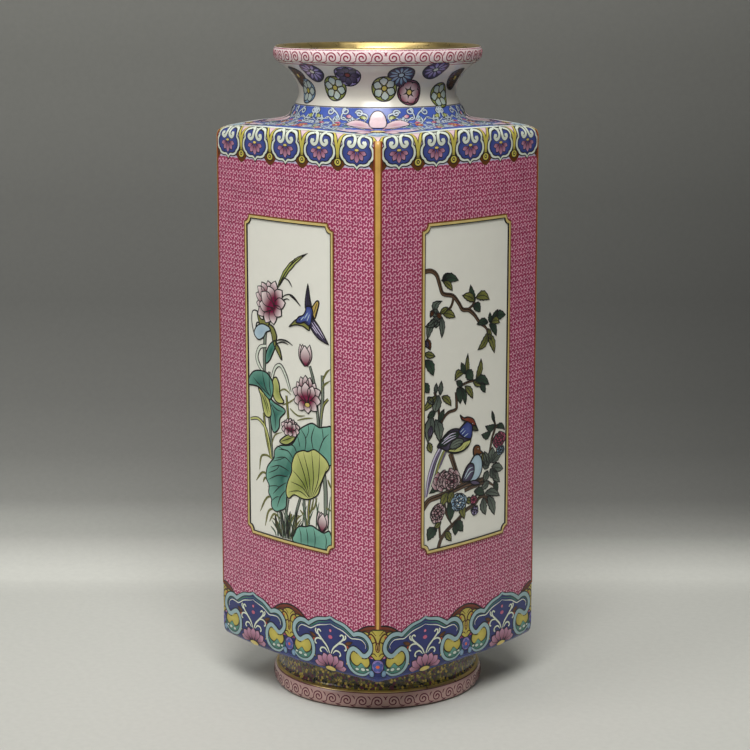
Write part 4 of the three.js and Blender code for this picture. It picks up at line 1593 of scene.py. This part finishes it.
# %% Lotus leaves
def draw_low_leaves(art):
    """The leaf in the water with its bud, and the two large leaves."""
    washed(art, [(4.6, 83), (5, 88.4), (7.4, 91.6), (12, 92.4), (16, 93.6), (20, 92.4), (24, 91.4),
        (27.8, 92.6), (28.2, 84)], TEAL, 4, 0, 0.5, (15, 86))
    strokes(art, INK, 6, 0.3, [(9, 83), (8.8, 88), (7.8, 91)], [(13.6, 83), (13.4, 88), (12.4, 92)],
        [(18, 83), (18.4, 88), (17.4, 92.6)], [(25, 83), (25.6, 88), (24.6, 91)])
    bud(art, (23.2, 96.6), 7.6, 9.6, 7, -0.08)
    big = [(-0.6, 106), (-1.6, 99.6), (-5.6, 97.2), (-9, 96.2), (-12, 98), (-12.2, 102), (-14.2, 104.6),
        (-13.8, 108.4)]
    big += [(-16, 112), (-15.2, 117), (-12.2, 120.6), (-9.8, 123), (-9.2, 127), (-5.4, 129.6), (-1, 130.4),
        (3, 131.6)]
    big += [(6.2, 135.4), (8.4, 139.6), (12, 142), (16.8, 144), (21.4, 142.6), (25.4, 143.4), (29.6, 142.6),
        (29.6, 126), (16, 124), (4, 116)]
    washed(art, big, TEAL, 5, 0.08, 0.95, (-4, 114))
    strokes(art, INK, 7, 0.26, [(-6, 109), (-9.4, 109), (-15, 107.6)],
        [(-6, 119.6), (-8.4, 117.2), (-14.6, 114.4)], [(-2, 124.4), (-5.4, 122.8), (-11, 121)],
        [(0, 128), (-3, 128.2), (-7.6, 129.2)], [(-5.4, 104), (-8.6, 103.4), (-12.6, 100.4)],
        [(12.6, 136), (14.6, 140), (14, 143.4)], [(8.6, 131.4), (7.6, 135), (6.4, 136.8)],
        [(24, 137), (23.6, 140.6), (23, 142.6)])
    strokes(art, INK, 7, 0.36, [(-1, 112), (-6, 109), (-11, 104.5)], [(-1.6, 108), (-5.4, 104), (-8, 98.4)],
        [(0, 115), (-7, 114.6), (-14.6, 111)], [(1, 118), (-6, 119.6), (-12.6, 117.6)],
        [(2.6, 122), (-2, 124.4), (-9, 122.8)], [(4, 124.6), (0, 128), (-6.4, 127.6)],
        [(6.6, 127.6), (4.4, 131), (1, 131)], [(12, 130), (12.6, 136), (9.4, 140)],
        [(17.6, 131), (16.4, 137), (18.6, 143)], [(21, 130.6), (24, 137), (27.6, 140.4)])
    gold_leaf = [(-1.2, 108.4), (0.2, 113), (2.8, 118), (3, 122), (5.6, 127.4), (10.6, 129.8), (14, 129.8),
        (18, 131.4)]
    gold_leaf += [(22, 130), (26, 127.4), (27.6, 124), (25, 120.6), (22.4, 115), (20.2, 109.6), (15, 106.6),
        (10, 106)]
    gold_leaf += [(4.6, 107), (1, 104.6), (-0.8, 105.6)]
    washed(art, gold_leaf, LEAF, 8, 0, 0.95, (12, 113))
    strokes(art, INK, 10, 0.3, [(14.6, 107.4), (10, 111.6), (2.4, 113)],
        [(14.8, 107.4), (10.4, 114), (3.6, 119)], [(15, 107.6), (11.6, 118), (7, 127.6)],
        [(15.4, 107.6), (14.6, 118), (11, 129)], [(16, 107.8), (17.6, 117), (16.4, 130.6)],
        [(16.6, 108), (20.6, 117), (21.6, 129.6)], [(17.4, 108), (22.4, 116), (26.6, 124.6)],
        [(14, 107), (8, 109.4), (0.6, 107.6)])
    washed(art, [(-5.6, 131.6), (-2.4, 134.4), (2, 136.6), (6.2, 136.4), (3.4, 133), (-1, 130.8)], LEAF, 8,
        0.2, 0.9)
    strokes(art, INK, 10, 0.26, [(-5, 131.8), (0, 133.6), (5.6, 136)])


def draw_high_leaves(art):
    """The folded leaves of the upper left."""
    washed(art, [(-12.6, 151.6), (-9, 150.2), (-3, 148.6), (-1.6, 146.6), (-5.4, 143), (-6, 138.4),
        (-9.8, 135.4), (-12, 140), (-12.4, 146)], TEAL, 5, 0.2, 0.9)
    strokes(art, INK, 7, 0.32, [(-11.8, 149), (-9, 144), (-8.6, 137.6)],
        [(-11.6, 149.6), (-7, 147), (-3, 147)])
    washed(art, [(-21.4, 156), (-18.4, 154.6), (-14, 152), (-12, 147.6), (-12, 143.2), (-15, 142.4),
        (-17.2, 144.4), (-18.4, 148.4), (-19.4, 152)], LEAF, 6, 0, 0.8)
    strokes(art, INK, 8, 0.28, [(-19, 153.6), (-16, 149), (-14, 143.6)],
        [(-17, 153), (-14.6, 149), (-12.8, 145)])
    washed(art, [(-29.6, 156.6), (-28.6, 160), (-25, 163.4), (-20, 164.6), (-14.4, 164), (-10.4, 160),
        (-10.2, 155), (-12.4, 151.4), (-16, 153), (-20, 156), (-24.4, 156.6)], TEAL, 7, 0.35, 0.95)
    strokes(art, INK, 9, 0.34, [(-12, 153), (-16, 157), (-18, 164)],
        [(-12, 153), (-19, 156.6), (-25.4, 160.6)], [(-11.6, 153), (-12.6, 158), (-13, 163.4)])
    washed(art, [(-10.4, 160.6), (-8, 163), (-5.8, 160), (-5, 155), (-2.4, 151.4), (-6.6, 150.6),
        (-10, 153.4)], LEAF, 5, 0, 0.7)
    stem(art, [(-11, 162), (-8.4, 167.6), (-4.6, 169.2), (-1, 165), (1, 160.6), (2.4, 157.4)], 5, PALE_LINE,
        1.1)
    stem(art, [(-15, 177.4), (-20, 176), (-22.4, 171), (-20, 166.4), (-16.4, 164)], 4, PALE_LINE, 1.3)
    washed(art, [(-15.4, 169), (-15, 174), (-12, 178.6), (-8.4, 180.8), (-7.6, 179), (-10, 174.6),
        (-12.4, 170.8)], TEAL, 6, 0.4, 1)
    strokes(art, INK, 6, 0.5, [(-9, 180.4), (-4.4, 181.8), (0, 181.6), (4, 180)],
        [(-8, 179.2), (-3, 180.8), (1, 180)])
    inked(art, [(-24.4, 182.6), (-26, 188), (-25.4, 193), (-22, 193.6), (-17, 191), (-19.4, 188),
        (-22, 188), (-23.4, 184)], PICTURE_WHITE, 4)
    inked(art, [(-21.6, 193), (-18.4, 190), (-14, 190.4), (-12.6, 187), (-16, 186), (-20, 188)], MOSS, 5,
        0.2)
    washed(art, [(-24.2, 183), (-22, 186.2), (-18, 187.8), (-13.6, 187.2), (-11.4, 185.6), (-15, 184),
        (-17, 181.4), (-20.4, 179.8), (-23, 180.8)], MIST, 6, 0, 0.45)
    washed(art, [(-13, 188), (-9.4, 187), (-7.2, 183), (-7.6, 180), (-5, 177), (-3.6, 172), (-6.4, 175),
        (-9.4, 179), (-11, 184)], MOSS, 6, 0, 0.6)


# %% Reed and flowers
def draw_flowers(art):
    """The leaning reed, loose leaves, three flowers and a bud."""
    leaf(art, (-6.4, 206), (14.4, 225), 2.6, LEAF, 5, 0.09, 0.9, 0)
    strokes(art, INK, 6.8, 0.3, [(-2, 212), (4, 219.4), (14, 224.8)], [(-5, 208), (-0.6, 214), (6, 222)])
    strokes(art, INK, 5, 0.42, [(-2.4, 212), (1.4, 211), (4, 208)], [(-4, 201), (-1, 203.6), (4, 204),
        (9.6, 199.6)], [(-3.6, 200.4), (0, 202), (2, 201.6)], [(2.4, 203.8), (6, 202.2), (9.2, 199.8)])
    strokes(art, OLIVE, 5, 0.5, [(-6, 156), (-2, 158), (2.6, 156)], [(-3.6, 150), (1.4, 152), (6, 155)],
        [(2, 149), (7, 146.4), (12, 147)], [(7, 144), (12, 145.6), (17.4, 146.6)],
        [(-12, 128), (-9.4, 134), (-4, 136.4)])
    lotus(art, (-11.4, 198.8), 1.12, 7, 0.95)
    lotus(art, (13.4, 156.6), 0.95, 8, 0.1)
    art.fill(disc((14, 152.6), 3.2, 2.2), BUFF, 16, 0.2, edge=INK, edge_width=0.3)
    lotus(art, (2.2, 139.4), 0.66, 9, 0, 0.7)
    bud(art, (12.6, 176.2), 9, 10.4, 6, 0.06)


# %% Kingfisher
def draw_kingfisher(art):
    inked(art, [(13.2, 198.6), (13, 203.4), (14.6, 210.6), (14.6, 210.6), (15.8, 204), (16.8, 199)], DUSK,
        8, 0.85)
    strokes(art, INK, 9, 0.3, [(14.4, 200), (14.4, 208)], [(15.6, 200), (15.2, 205)])
    inked(art, [(17.2, 199), (18.6, 201.4), (20.4, 203.2), (21.6, 202.2), (20.4, 198), (18.8, 194.6)], BUFF,
        8, 0.5)
    strokes(art, INK, 9, 0.3, [(18.4, 197), (20.6, 202.6)], [(19.2, 196), (21.4, 201)])
    inked(art, [(15.8, 195.4), (19, 193.6), (22.4, 190), (27.4, 183.2), (27.4, 183.2), (21.6, 185.2),
        (17.6, 188.4), (15.6, 191.6)], DUSK, 9, 0.8)
    strokes(art, LILAC, 10, 0.36, [(17, 192.6), (20.4, 189), (24, 185.6)], [(17.4, 190.6), (20.6, 187.6)],
        [(18.4, 193), (22, 189.4), (25, 186)])
    inked(art, [(1.8, 188.8), (1.8, 188.8), (6, 190.2), (11, 190.2), (15.4, 188.6), (14, 192.6), (9, 193.4),
        (6, 192.4)], MOSS, 9, 0.2)
    washed(art, [(6.6, 191.6), (8.4, 194.2), (11.4, 195.4), (13, 197.6), (13.6, 199.8), (16.4, 200),
        (17.8, 197.6), (17.2, 193.6), (15.4, 190.8), (12.4, 192), (9.6, 191.4)], FEATHER_BLUE, 10, 0.9, 0.1,
        (15, 196))
    strokes(art, MIST, 12.4, 0.3, [(12.4, 194), (14.6, 197)], [(14, 193), (15.8, 196.4)],
        [(10, 193), (12, 194.8)])
    strokes(art, INK, 12.4, 0.26, [(16.4, 192.4), (17, 195), (16.4, 198.6)],
        [(10.6, 192), (13, 192.6), (15.4, 191.6)])
    art.fill(disc((9.2, 193.1), 0.8), INK, 13)


LOTUS_PICTURE = [draw_stems, draw_low_leaves, draw_high_leaves, draw_flowers, draw_kingfisher]


# %% [markdown]
# ## Birds in a flowering tree
# A branch comes in from the upper left with loose clusters of leaves. Below it a long-tailed bird
# and its mate sit on an old branch among peonies.

# %% Branches
def draw_branches(art):
    for path, width in (
        ([(-30, 217.6), (-25.4, 217.8), (-21.6, 215.4), (-19.4, 210), (-17.4, 206.2), (-11, 204.6),
            (-7, 200.6), (-4.4, 197.4),
          (0, 196.6), (4, 193.8), (7.6, 190), (12.8, 186.2), (14, 182)], 1.8),
        ([(-10.6, 203.6), (-12.4, 199.4), (-17, 197)], 1),
        ([(-0.6, 197), (3, 199), (4.4, 202)], 0.8),
        ([(-8.4, 158), (-8, 152), (-8.6, 149.6), (-14, 148.6), (-18, 144.6), (-19.6, 138), (-17.4, 135.6)],
            1.2),
        ([(-6, 160.4), (-1, 161.6), (5, 161.8), (9, 160.6)], 0.8),
        ([(-22.6, 160), (-20, 152), (-19.4, 142)], 1),
        ([(-12, 128.6), (-9.6, 123), (-7, 117), (-3.4, 111.8)], 2.6),
        ([(-30, 103.6), (-26, 107.6), (-20, 108.6), (-10, 110), (-1, 111.4), (8, 111.8), (16, 112.6)], 2.6),
        ([(-2, 108.6), (6, 109.6), (14, 110), (20, 107)], 1.4),
        ([(-19.8, 82.4), (-18, 87), (-14.6, 90.4), (-10.6, 92.8), (-5.6, 95.4), (-1, 98.6), (5, 100.4),
            (10.6, 103.4), (20, 100)], 1.7),
        ([(-16.4, 110), (-15, 101), (-11, 93.6)], 1.2),
        ([(-18.4, 88), (-19.2, 95), (-19.6, 99)], 0.9),
        ([(16.4, 124), (18, 131), (20.4, 136), (19.6, 140), (18.2, 144)], 1),
        ([(20.6, 136.6), (25, 137), (28, 133.6)], 0.8),
        ([(12.4, 104), (14.6, 100), (19.6, 97)], 0.8),
    ):
        art.inked_line(through(path, 5), BARK, 3, width * 0.85, ends=(1.1, 0.5), rim=0.3)
        art.line(through(path, 3) + (0.15, 0.25), BARK, 5, width * 0.3, shade=1)


# %% Leaves of the tree
def draw_upper_leaves(art):
    """The leaves of the upper branch."""
    leaves(art, PINE, 5, (-18.6, 212.6, -7.4, 211.6, 4.2, 0.12), (-18, 213, -13.2, 215.6, 2.8),
        (4.4, 200.6, 1, 208.6, 3.4, 0.1), (14, 189, 5.8, 189, 3.4, -0.1), (15.6, 188.6, 15.4, 193.6, 2.4),
        (18.6, 189.8, 27.6, 191, 4.4, 0.14), (15, 188, 20.4, 181.6, 3.6, 0.15),
        (3, 198.8, 8, 194.8, 4.4, 0.15), (17, 189, 21.6, 194.4, 3))
    leaves(art, MOSS, 6, (-17.4, 212, -11.4, 207.2, 3, 0.1), (4, 200.4, -4.6, 204, 4, -0.1),
        (4.8, 202, 14.8, 200, 4.4, 0.16), (13.6, 184, 6.6, 176.6, 3.8, 0.15),
        (13.8, 183.4, 19, 173.4, 4, 0.1), (16.4, 188.6, 23, 187.6, 3.6, 0.2),
        (-17.4, 196.6, -9.4, 194.2, 3.8, 0.1), (-19.4, 197, -14.4, 199.6, 2.6), (14, 186, 16.6, 180, 2.8))
    leaves(art, SLATE, 6, (-19, 196, -18.2, 185.4, 3.2, 0.06), (-19.6, 196.6, -28.6, 191.8, 3.8, 0.12),
        (-22, 196.6, -18, 202.8, 3.8, 0.4), (-22.4, 195, -27.2, 185.6, 3.6, -0.1),
        (-20, 197, -25.6, 198.6, 3.6), (-21, 194, -22, 190.6, 3))
    leaves(art, BROWN, 7, (-21.6, 197.6, -18.4, 194.6, 2.2), (-23.6, 199, -25.6, 196, 2),
        (-27.6, 186, -25.4, 180.4, 3))


def draw_middle_leaves(art):
    """The leaves at the left edge and of the middle branch."""
    leaves(art, MOSS, 6, (-29, 179, -22.4, 177, 3), (0, 163.6, -0.4, 175.6, 2.6, 0.06),
        (-3.4, 166.6, -9.2, 163.6, 3.6, -0.3), (5.6, 162.6, 9, 171.8, 3.4, -0.12),
        (-21, 158, -30, 151.6, 3.8), (-18, 157, -11.8, 151.8, 3.4, 0.12), (-26.4, 136, -24.4, 130.8, 3.4),
        (-2.4, 160, 3.2, 153.2, 3.4, 0.1), (3.4, 161.6, 10, 158.6, 3.2))
    leaves(art, PINE, 7, (-28.6, 176, -23.4, 167.8, 4.6, 0.1), (-29.6, 165, -26, 160, 4),
        (-2.4, 166, -5, 171.8, 3), (-1.4, 167.6, 3.2, 162.4, 5), (-4, 160.6, -8.4, 163.2, 3),
        (4.6, 162, 15.2, 158.2, 4.2, 0.14), (9, 160.6, 12.4, 154.8, 3.2), (-5.4, 160, -2, 151, 3, 0.1),
        (-7.6, 160, -5.6, 152, 4.6, 0.1), (-22, 150.4, -27, 148.2, 3.2), (-20, 145, -16.4, 150.8, 3))
    leaves(art, SLATE, 6, (-19, 158, -18.2, 164.6, 2.6), (-22, 159, -21.4, 164, 2.2),
        (-20, 158, -22.6, 149.6, 5.6), (-24.4, 149, -26.8, 136, 6), (-22, 146.6, -19.4, 135.4, 5.6, 0.1),
        (-27, 158, -23, 154, 3))
    leaves(art, DUSK, 7.5, (-24.4, 144, -26, 138, 3), (-29, 185, -26.4, 181.8, 2.6))


# %% Peonies
def draw_peonies(art):
    """The peonies on the old branch, and the leaves round them."""
    leaves(art, PINE, 6, (-13, 113.6, -25.6, 111, 4, -0.1), (-16, 112, -22, 115.6, 3.6),
        (-20.6, 93, -26.4, 88, 5.6, -0.2), (-9, 94, -3, 88.4, 4.8, 0.1), (-7.6, 94, -8.4, 87.6, 4.2),
        (-13, 104.6, -12, 95, 4.8, 0.1), (5, 107, 12.6, 104, 4.2, 0.1), (17, 134.6, 10, 134.4, 3.4, 0.2),
        (20.6, 137.6, 12.8, 138.2, 3.2, 0.2), (21, 136, 28, 134, 2.6, 0.2), (20, 109, 23, 104, 3.4),
        (19.6, 139, 17.8, 144.8, 1.8))
    leaves(art, MOSS, 6, (-15, 90.6, -11, 85.2, 3.6), (-14, 110, -18, 103.6, 4.6),
        (-10, 109.6, -13.6, 104, 4.4), (-3, 104, -2, 94.4, 4.4, -0.1), (-1, 104, 3.6, 102, 3.2),
        (-18, 96, -22.4, 93, 2.8), (13, 118, 11, 125.4, 3.6))
    leaves(art, SLATE, 6.5, (16, 118, 12.4, 125.6, 5, 0.1), (17, 119, 18.6, 126.6, 5.4),
        (18, 119, 25.6, 122.4, 4.6, 0.1), (18, 117, 27, 114.4, 4.6), (17, 116, 21, 110.6, 4.4),
        (15.4, 117, 11, 120.6, 4), (15, 115.4, 12, 110.4, 4), (12, 102.6, 13.6, 93.6, 4.6, -0.1),
        (15, 102.6, 20.4, 92.2, 4.8, 0.08), (13, 104.6, 24.6, 101, 3.8, 0.1), (16, 110, 10, 107, 3.6),
        (19, 116, 24.6, 108, 4.2, -0.1))
    blossom(art, np.array((-15, 116)), 8.6, 10, BLUSH, 8, 0.56, turn=0.2)
    blossom(art, np.array((-11, 114.6)), 5.6, 8, BLUSH, 11, 0.6, rings=(1, 0.6))
    blossom(art, np.array((-20.4, 100.6)), 4.8, 8, BLUSH, 8, 0.95, turn=0.3)
    blossom(art, np.array((-6, 103.6)), 5.2, 9, MIST, 8, 0.95, turn=0.1)
    blossom(art, np.array((23.4, 129.6)), 5, 8, ROSE, 8, 0.72, turn=0.3)
    blossom(art, np.array((24.8, 124.2)), 3, 7, MIST, 9, 0.8, rings=(1, 0.6))
    blossom(art, np.array((5.4, 97.6)), 2.4, 5, LILAC, 8, 0.95, rings=(1, 0.6))
    blossom(art, np.array((4.4, 103)), 2.4, 5, ROSE, 8, 0.8, rings=(1,))
    for at in ((-7.4, 104.6), (-5.4, 103.2), (-6.6, 102), (-4.6, 105)):
        art.fill(disc(at, 0.9), PICTURE_WHITE, 12)


# %% Long-tailed birds
def draw_long_tailed_bird(art):
    for path, paint, width in (
        ([(-17.6, 134), (-22.6, 127.6), (-26.2, 119), (-28, 109.6)], LILAC, 0.9),
        ([(-17, 133), (-21.6, 126.6), (-25, 118), (-27.4, 109.8)], DUSK, 1.1),
        ([(-16.4, 132.4), (-20.4, 126), (-23.4, 118.6), (-26, 112.6)], PALE_LINE, 0.8),
        ([(-15.4, 131.6), (-18.6, 126.4), (-21.4, 120)], MOSS, 1.3),
        ([(-14.6, 131), (-17.2, 127), (-19.6, 122.4)], DUSK, 1.2),
    ):
        art.inked_line(through(path, 6), paint, 9, width, ends=(1, 0.5), rim=0.2)
    washed(art, [(-20.6, 133.2), (-17, 137), (-13, 139.6), (-9, 140.2), (-5, 139.6), (-1.4, 141.4),
        (2, 140), (2.6, 136), (1.6, 132.4), (0, 130), (-4, 128.4), (-9, 128.2), (-14, 129.8), (-18, 132)],
        DUSK, 10.5, 0.9, 0.3, (-10, 134))
    washed(art, [(-14, 130.2), (-9, 128.6), (-3.6, 128.8), (0.4, 130.8), (1.8, 133), (-2.6, 132.8),
        (-8, 131.4)], LEAF, 11.5, 0, 0.2)
    strokes(art, INK, 12.6, 0.2, [(-10, 129.6), (-7, 130.6)], [(-6, 129.2), (-3, 131)],
        [(-2.4, 129.8), (0, 132)])
    washed(art, [(-12.6, 131.4), (-9.6, 130.4), (-4.6, 131.6), (-3.4, 134), (-7.6, 135.4), (-11, 134.4)],
        SLATE, 12, 0.6, 0)
    strokes(art, INK, 13.2, 0.24, [(-11, 133), (-7, 134), (-4, 133.4)],
        [(-10.4, 131.8), (-7, 132.6), (-4.6, 132.4)])
    washed(art, [(-19.6, 133.8), (-15.4, 137.8), (-9.6, 139), (-6.4, 137.6), (-8, 135.4), (-12.6, 134.2),
        (-15.8, 132.8)], PINE, 12, 0.9, 0.5)
    strokes(art, LILAC, 13.5, 0.34, [(-18, 134.4), (-13.6, 136.4), (-8.6, 137)],
        [(-16.8, 133.8), (-12, 135.4), (-8.6, 136)], [(-16.6, 136), (-12, 138), (-8.4, 138.2)])
    washed(art, [(-6.6, 138.6), (-2.6, 141.8), (0.6, 142.8), (2.8, 140.4), (2.8, 136.6), (1.8, 133.8),
        (-1.6, 134.4), (-4.6, 136)], FEATHER_BLUE, 13, 0.95, 0.5, (-0.4, 139))
    strokes(art, MIST, 14.5, 0.24, [(-5.6, 138), (-3, 139.6)], [(-4.4, 136.8), (-2, 138.4)],
        [(-3, 135.4), (0, 136.6)])
    inked(art, [(-5.6, 146.4), (-5.6, 146.4), (-4, 143.8), (0, 142.2), (2.4, 140.6), (3.6, 138.2), (7, 137),
        (7, 137), (5.4, 140), (3.6, 143), (0, 144.6), (-3, 144.6)], RUST, 14, 0.25)
    inked(art, [(3.2, 139.6), (4.6, 139.8), (7.2, 136.9), (7.2, 136.9), (4.4, 137.4), (3.2, 138)], OLIVE,
        15, 0.8)
    art.fill(disc((3, 141), 0.7), PICTURE_WHITE, 16, edge=INK, edge_width=0.25)


def draw_mate(art):
    washed(art, [(-3.4, 114.6), (-1, 119), (2, 122), (5, 124.8), (8.4, 124.4), (10.2, 121.4), (10.2, 117),
        (8, 113.6), (5, 112.4), (0, 112.6)], MIST, 10, 0.35, 0, (7, 118))
    washed(art, [(-3.8, 113.6), (-2.2, 118), (0.8, 121.2), (4, 120.6), (4.4, 116.6), (1.4, 113)], DUSK, 12,
        0.9, 0.2)
    strokes(art, MIST, 13.5, 0.34, [(-2.4, 115), (0.4, 118.6), (3.6, 119.4)],
        [(-1.6, 114.2), (1.6, 117), (4, 117.4)])
    inked(art, [(4.4, 125), (4, 128), (5.6, 129.6), (8.2, 129), (9, 126.6), (10.4, 125.6), (8.4, 124.8),
        (6.4, 125.6)], BROWN, 12, 0.3)
    art.fill(disc((7.2, 127.8), 0.7), PICTURE_WHITE, 13.5, edge=INK, edge_width=0.22)
    inked(art, [(2, 112.4), (6, 112.2), (9, 110), (4, 110.4)], DUSK, 11, 0.4)


TREE_PICTURE = [draw_branches, draw_upper_leaves, draw_middle_leaves, draw_peonies]
TREE_PICTURE += [draw_long_tailed_bird, draw_mate]

# %% [markdown]
# ## Pictures on the panels
# Each picture is trimmed to its panel. Opposite walls carry the same picture, so it is laid on the
# first wall and turned copies go on the others.

# %% Pictures on the panels
PICTURE_CUTS = [u for u in range(-28, 29, 4)]
EDGE_OF_PICTURE = (PANEL[0] - 0.9, PANEL[1] - 0.9, PANEL[2] + 0.9, PANEL[3] + 0.9)
PANEL_LEVEL = 5
for name, steps, wall in (("tree_picture", TREE_PICTURE, 0), ("lotus_picture", LOTUS_PICTURE, 3)):
    art = Painting()
    for draw in steps:
        draw(art)
    art.levels = PANEL_LEVEL + art.levels * 0.9
    first = lay(f"{name}_right", art, on_body, PICTURE_CUTS, window=EDGE_OF_PICTURE)
    for turns in (1, 2, 3):
        if turns % 2 == wall % 2:
            turned_copy(first, f"{name}_{('right', 'back', 'left', 'front')[turns]}", turns)
    if wall % 2:
        bpy.data.objects.remove(first)

# %% [markdown]
# ## Studio
# A pale sweep of paper, a large soft light above, one before the vase and one at the left. The
# paper's colour carries painted shade: it is painted darker with its height, and on the raised part
# lighter at the left and darker at the right, as if the light left it. It is seen from the front only:
# its back is clear, so that the vase can be looked at from behind.

# %% Camera, lights and floor
AZIMUTH = math.radians(45)
CAMERA_DISTANCE = 1.0125
CAMERA_HEIGHT = 0.3523
CAMERA_SIDESTEP = -1.3 * MM
CAMERA_PITCH = math.radians(10.93)
LENS = 99.0

toward = Vector((-math.sin(AZIMUTH), math.cos(AZIMUTH), 0))
rightward = Vector((math.cos(AZIMUTH), math.sin(AZIMUTH), 0))
camera = bpy.data.objects.new("camera", bpy.data.cameras.new("camera"))
camera.data.lens = LENS
camera.location = rightward * CAMERA_SIDESTEP - toward * CAMERA_DISTANCE + Vector((0, 0, CAMERA_HEIGHT))
camera.rotation_euler = (QUARTER - CAMERA_PITCH, 0, AZIMUTH)
bpy.context.scene.collection.objects.link(camera)
bpy.context.scene.camera = camera
bpy.context.scene.view_settings.view_transform = "Standard"


def area_light(name, side, back, height, size, power, aim_height=0.15, spread=180):
    light = bpy.data.objects.new(name, bpy.data.lights.new(name, "AREA"))
    light.data.shape = "RECTANGLE"
    light.data.size, light.data.size_y = size
    light.data.energy = power
    light.data.spread = math.radians(spread)
    light.location = rightward * side + toward * back + Vector((0, 0, height))
    aim = Vector((0, 0, aim_height)) - light.location
    light.rotation_euler = aim.to_track_quat("-Z", "Y").to_euler()
    bpy.context.scene.collection.objects.link(light)


# each light: how far to the side, to the back and up, its size in metres, and its power in watts
area_light("top_light", -0.1, 0.0, 1.5, (1.0, 0.8), 5)
area_light("front_light", -0.02, -0.75, 1.2, (0.7, 0.5), 2.7, aim_height=0.34, spread=75)
area_light("left_light", -1.2, -0.6, 1.2, (0.7, 1.0), 6.4)

world = bpy.data.worlds.new("studio")
world.use_nodes = True
background = world.node_tree.nodes["Background"].inputs
background["Color"].default_value = (0.55, 0.56, 0.55, 1)
background["Strength"].default_value = 0.12
bpy.context.scene.world = world

# height on the sweep in metres, and the paper's tone there: painted shade, darker where the sweep turns up
# away from the light
SWEEP_PAINTED_SHADE = [(0.0, 0.62), (0.0015, 0.7), (0.005, 0.585), (0.0125, 0.34), (0.0255, 0.19), (0.047, 0.135)]
SWEEP_PAINTED_SHADE += [(0.075, 0.11), (0.134, 0.092), (0.2, 0.114), (0.268, 0.16), (0.336, 0.2)]
SWEEP_TOP = SWEEP_PAINTED_SHADE[-1][0]


def make_sweep():
    """Floor and backdrop in one sheet, curving up behind the vase."""
    curve_from, radius, width, front, top = 0.14, 0.30, 2.6, -1.6, 1.4
    line = [(front, 0.0), (curve_from, 0.0)]
    for step in range(1, 25):
        turn = QUARTER * step / 24
        line.append((curve_from + radius * math.sin(turn), radius * (1 - math.cos(turn))))
    line.append((curve_from + radius, top))
    rows = []
    for back, z in line:
        middle = toward * back + Vector((0, 0, z))
        rows.append([tuple(middle + rightward * side) for side in (-width, 0, width)])
    sweep = moved_grid("paper_sweep", rows)
    bpy.ops.object.shade_smooth()
    material, tree, shader = shader_of("sweep_paper_painted_shade")
    place = object_place(tree)
    grain = node(tree, "ShaderNodeTexNoise", Vector=place, Scale=300.0, Detail=3.0).outputs[0]
    height = node(tree, "ShaderNodeSeparateXYZ", Vector=place).outputs["Z"]
    # painted shade: the paper's colour is made darker as the sweep rises
    stops = [(z / SWEEP_TOP, (tone, tone, tone * 0.91, 1)) for z, tone in SWEEP_PAINTED_SHADE]
    painted_shade_tones = ramp(tree, maths(tree, "DIVIDE", height, SWEEP_TOP), stops)
    speckle = maths(tree, "ADD", maths(tree, "MULTIPLY", grain, 0.12), 0.94)
    # painted shade across the backdrop: on its raised part the paper is painted lighter at the left and
    # darker at the right, by an amount that changes with height and turns round at half a metre up
    side = vector_maths(tree, "DOT_PRODUCT", place, rightward, output="Value")
    raised = maths(tree, "MULTIPLY", height, 50.0, clamp=True)
    side_shade_by_height = maths(tree, "ADD", maths(tree, "MULTIPLY", height, 3.2), -1.6)
    painted_side_shade = maths(tree, "MULTIPLY", maths(tree, "MULTIPLY", side, raised), side_shade_by_height)
    light = maths(tree, "MULTIPLY", speckle, maths(tree, "ADD", painted_side_shade, 1.0))
    feed_by_name(tree, shader, Base_Color=scaled(tree, painted_shade_tones, light), Roughness=0.85)
    back = node(tree, "ShaderNodeNewGeometry").outputs["Backfacing"]
    clear = node(tree, "ShaderNodeBsdfTransparent").outputs[0]
    choose = node(tree, "ShaderNodeMixShader")
    for socket, value in zip(choose.inputs, (back, shader.outputs[0], clear)):
        feed(tree, socket, value)
    feed(tree, tree.nodes["Material Output"].inputs["Surface"], choose.outputs[0])
    sweep.data.materials.append(material)
    print("sweep faces up:", sweep.data.polygons[0].normal.z > 0)
    return sweep


sweep = make_sweep()
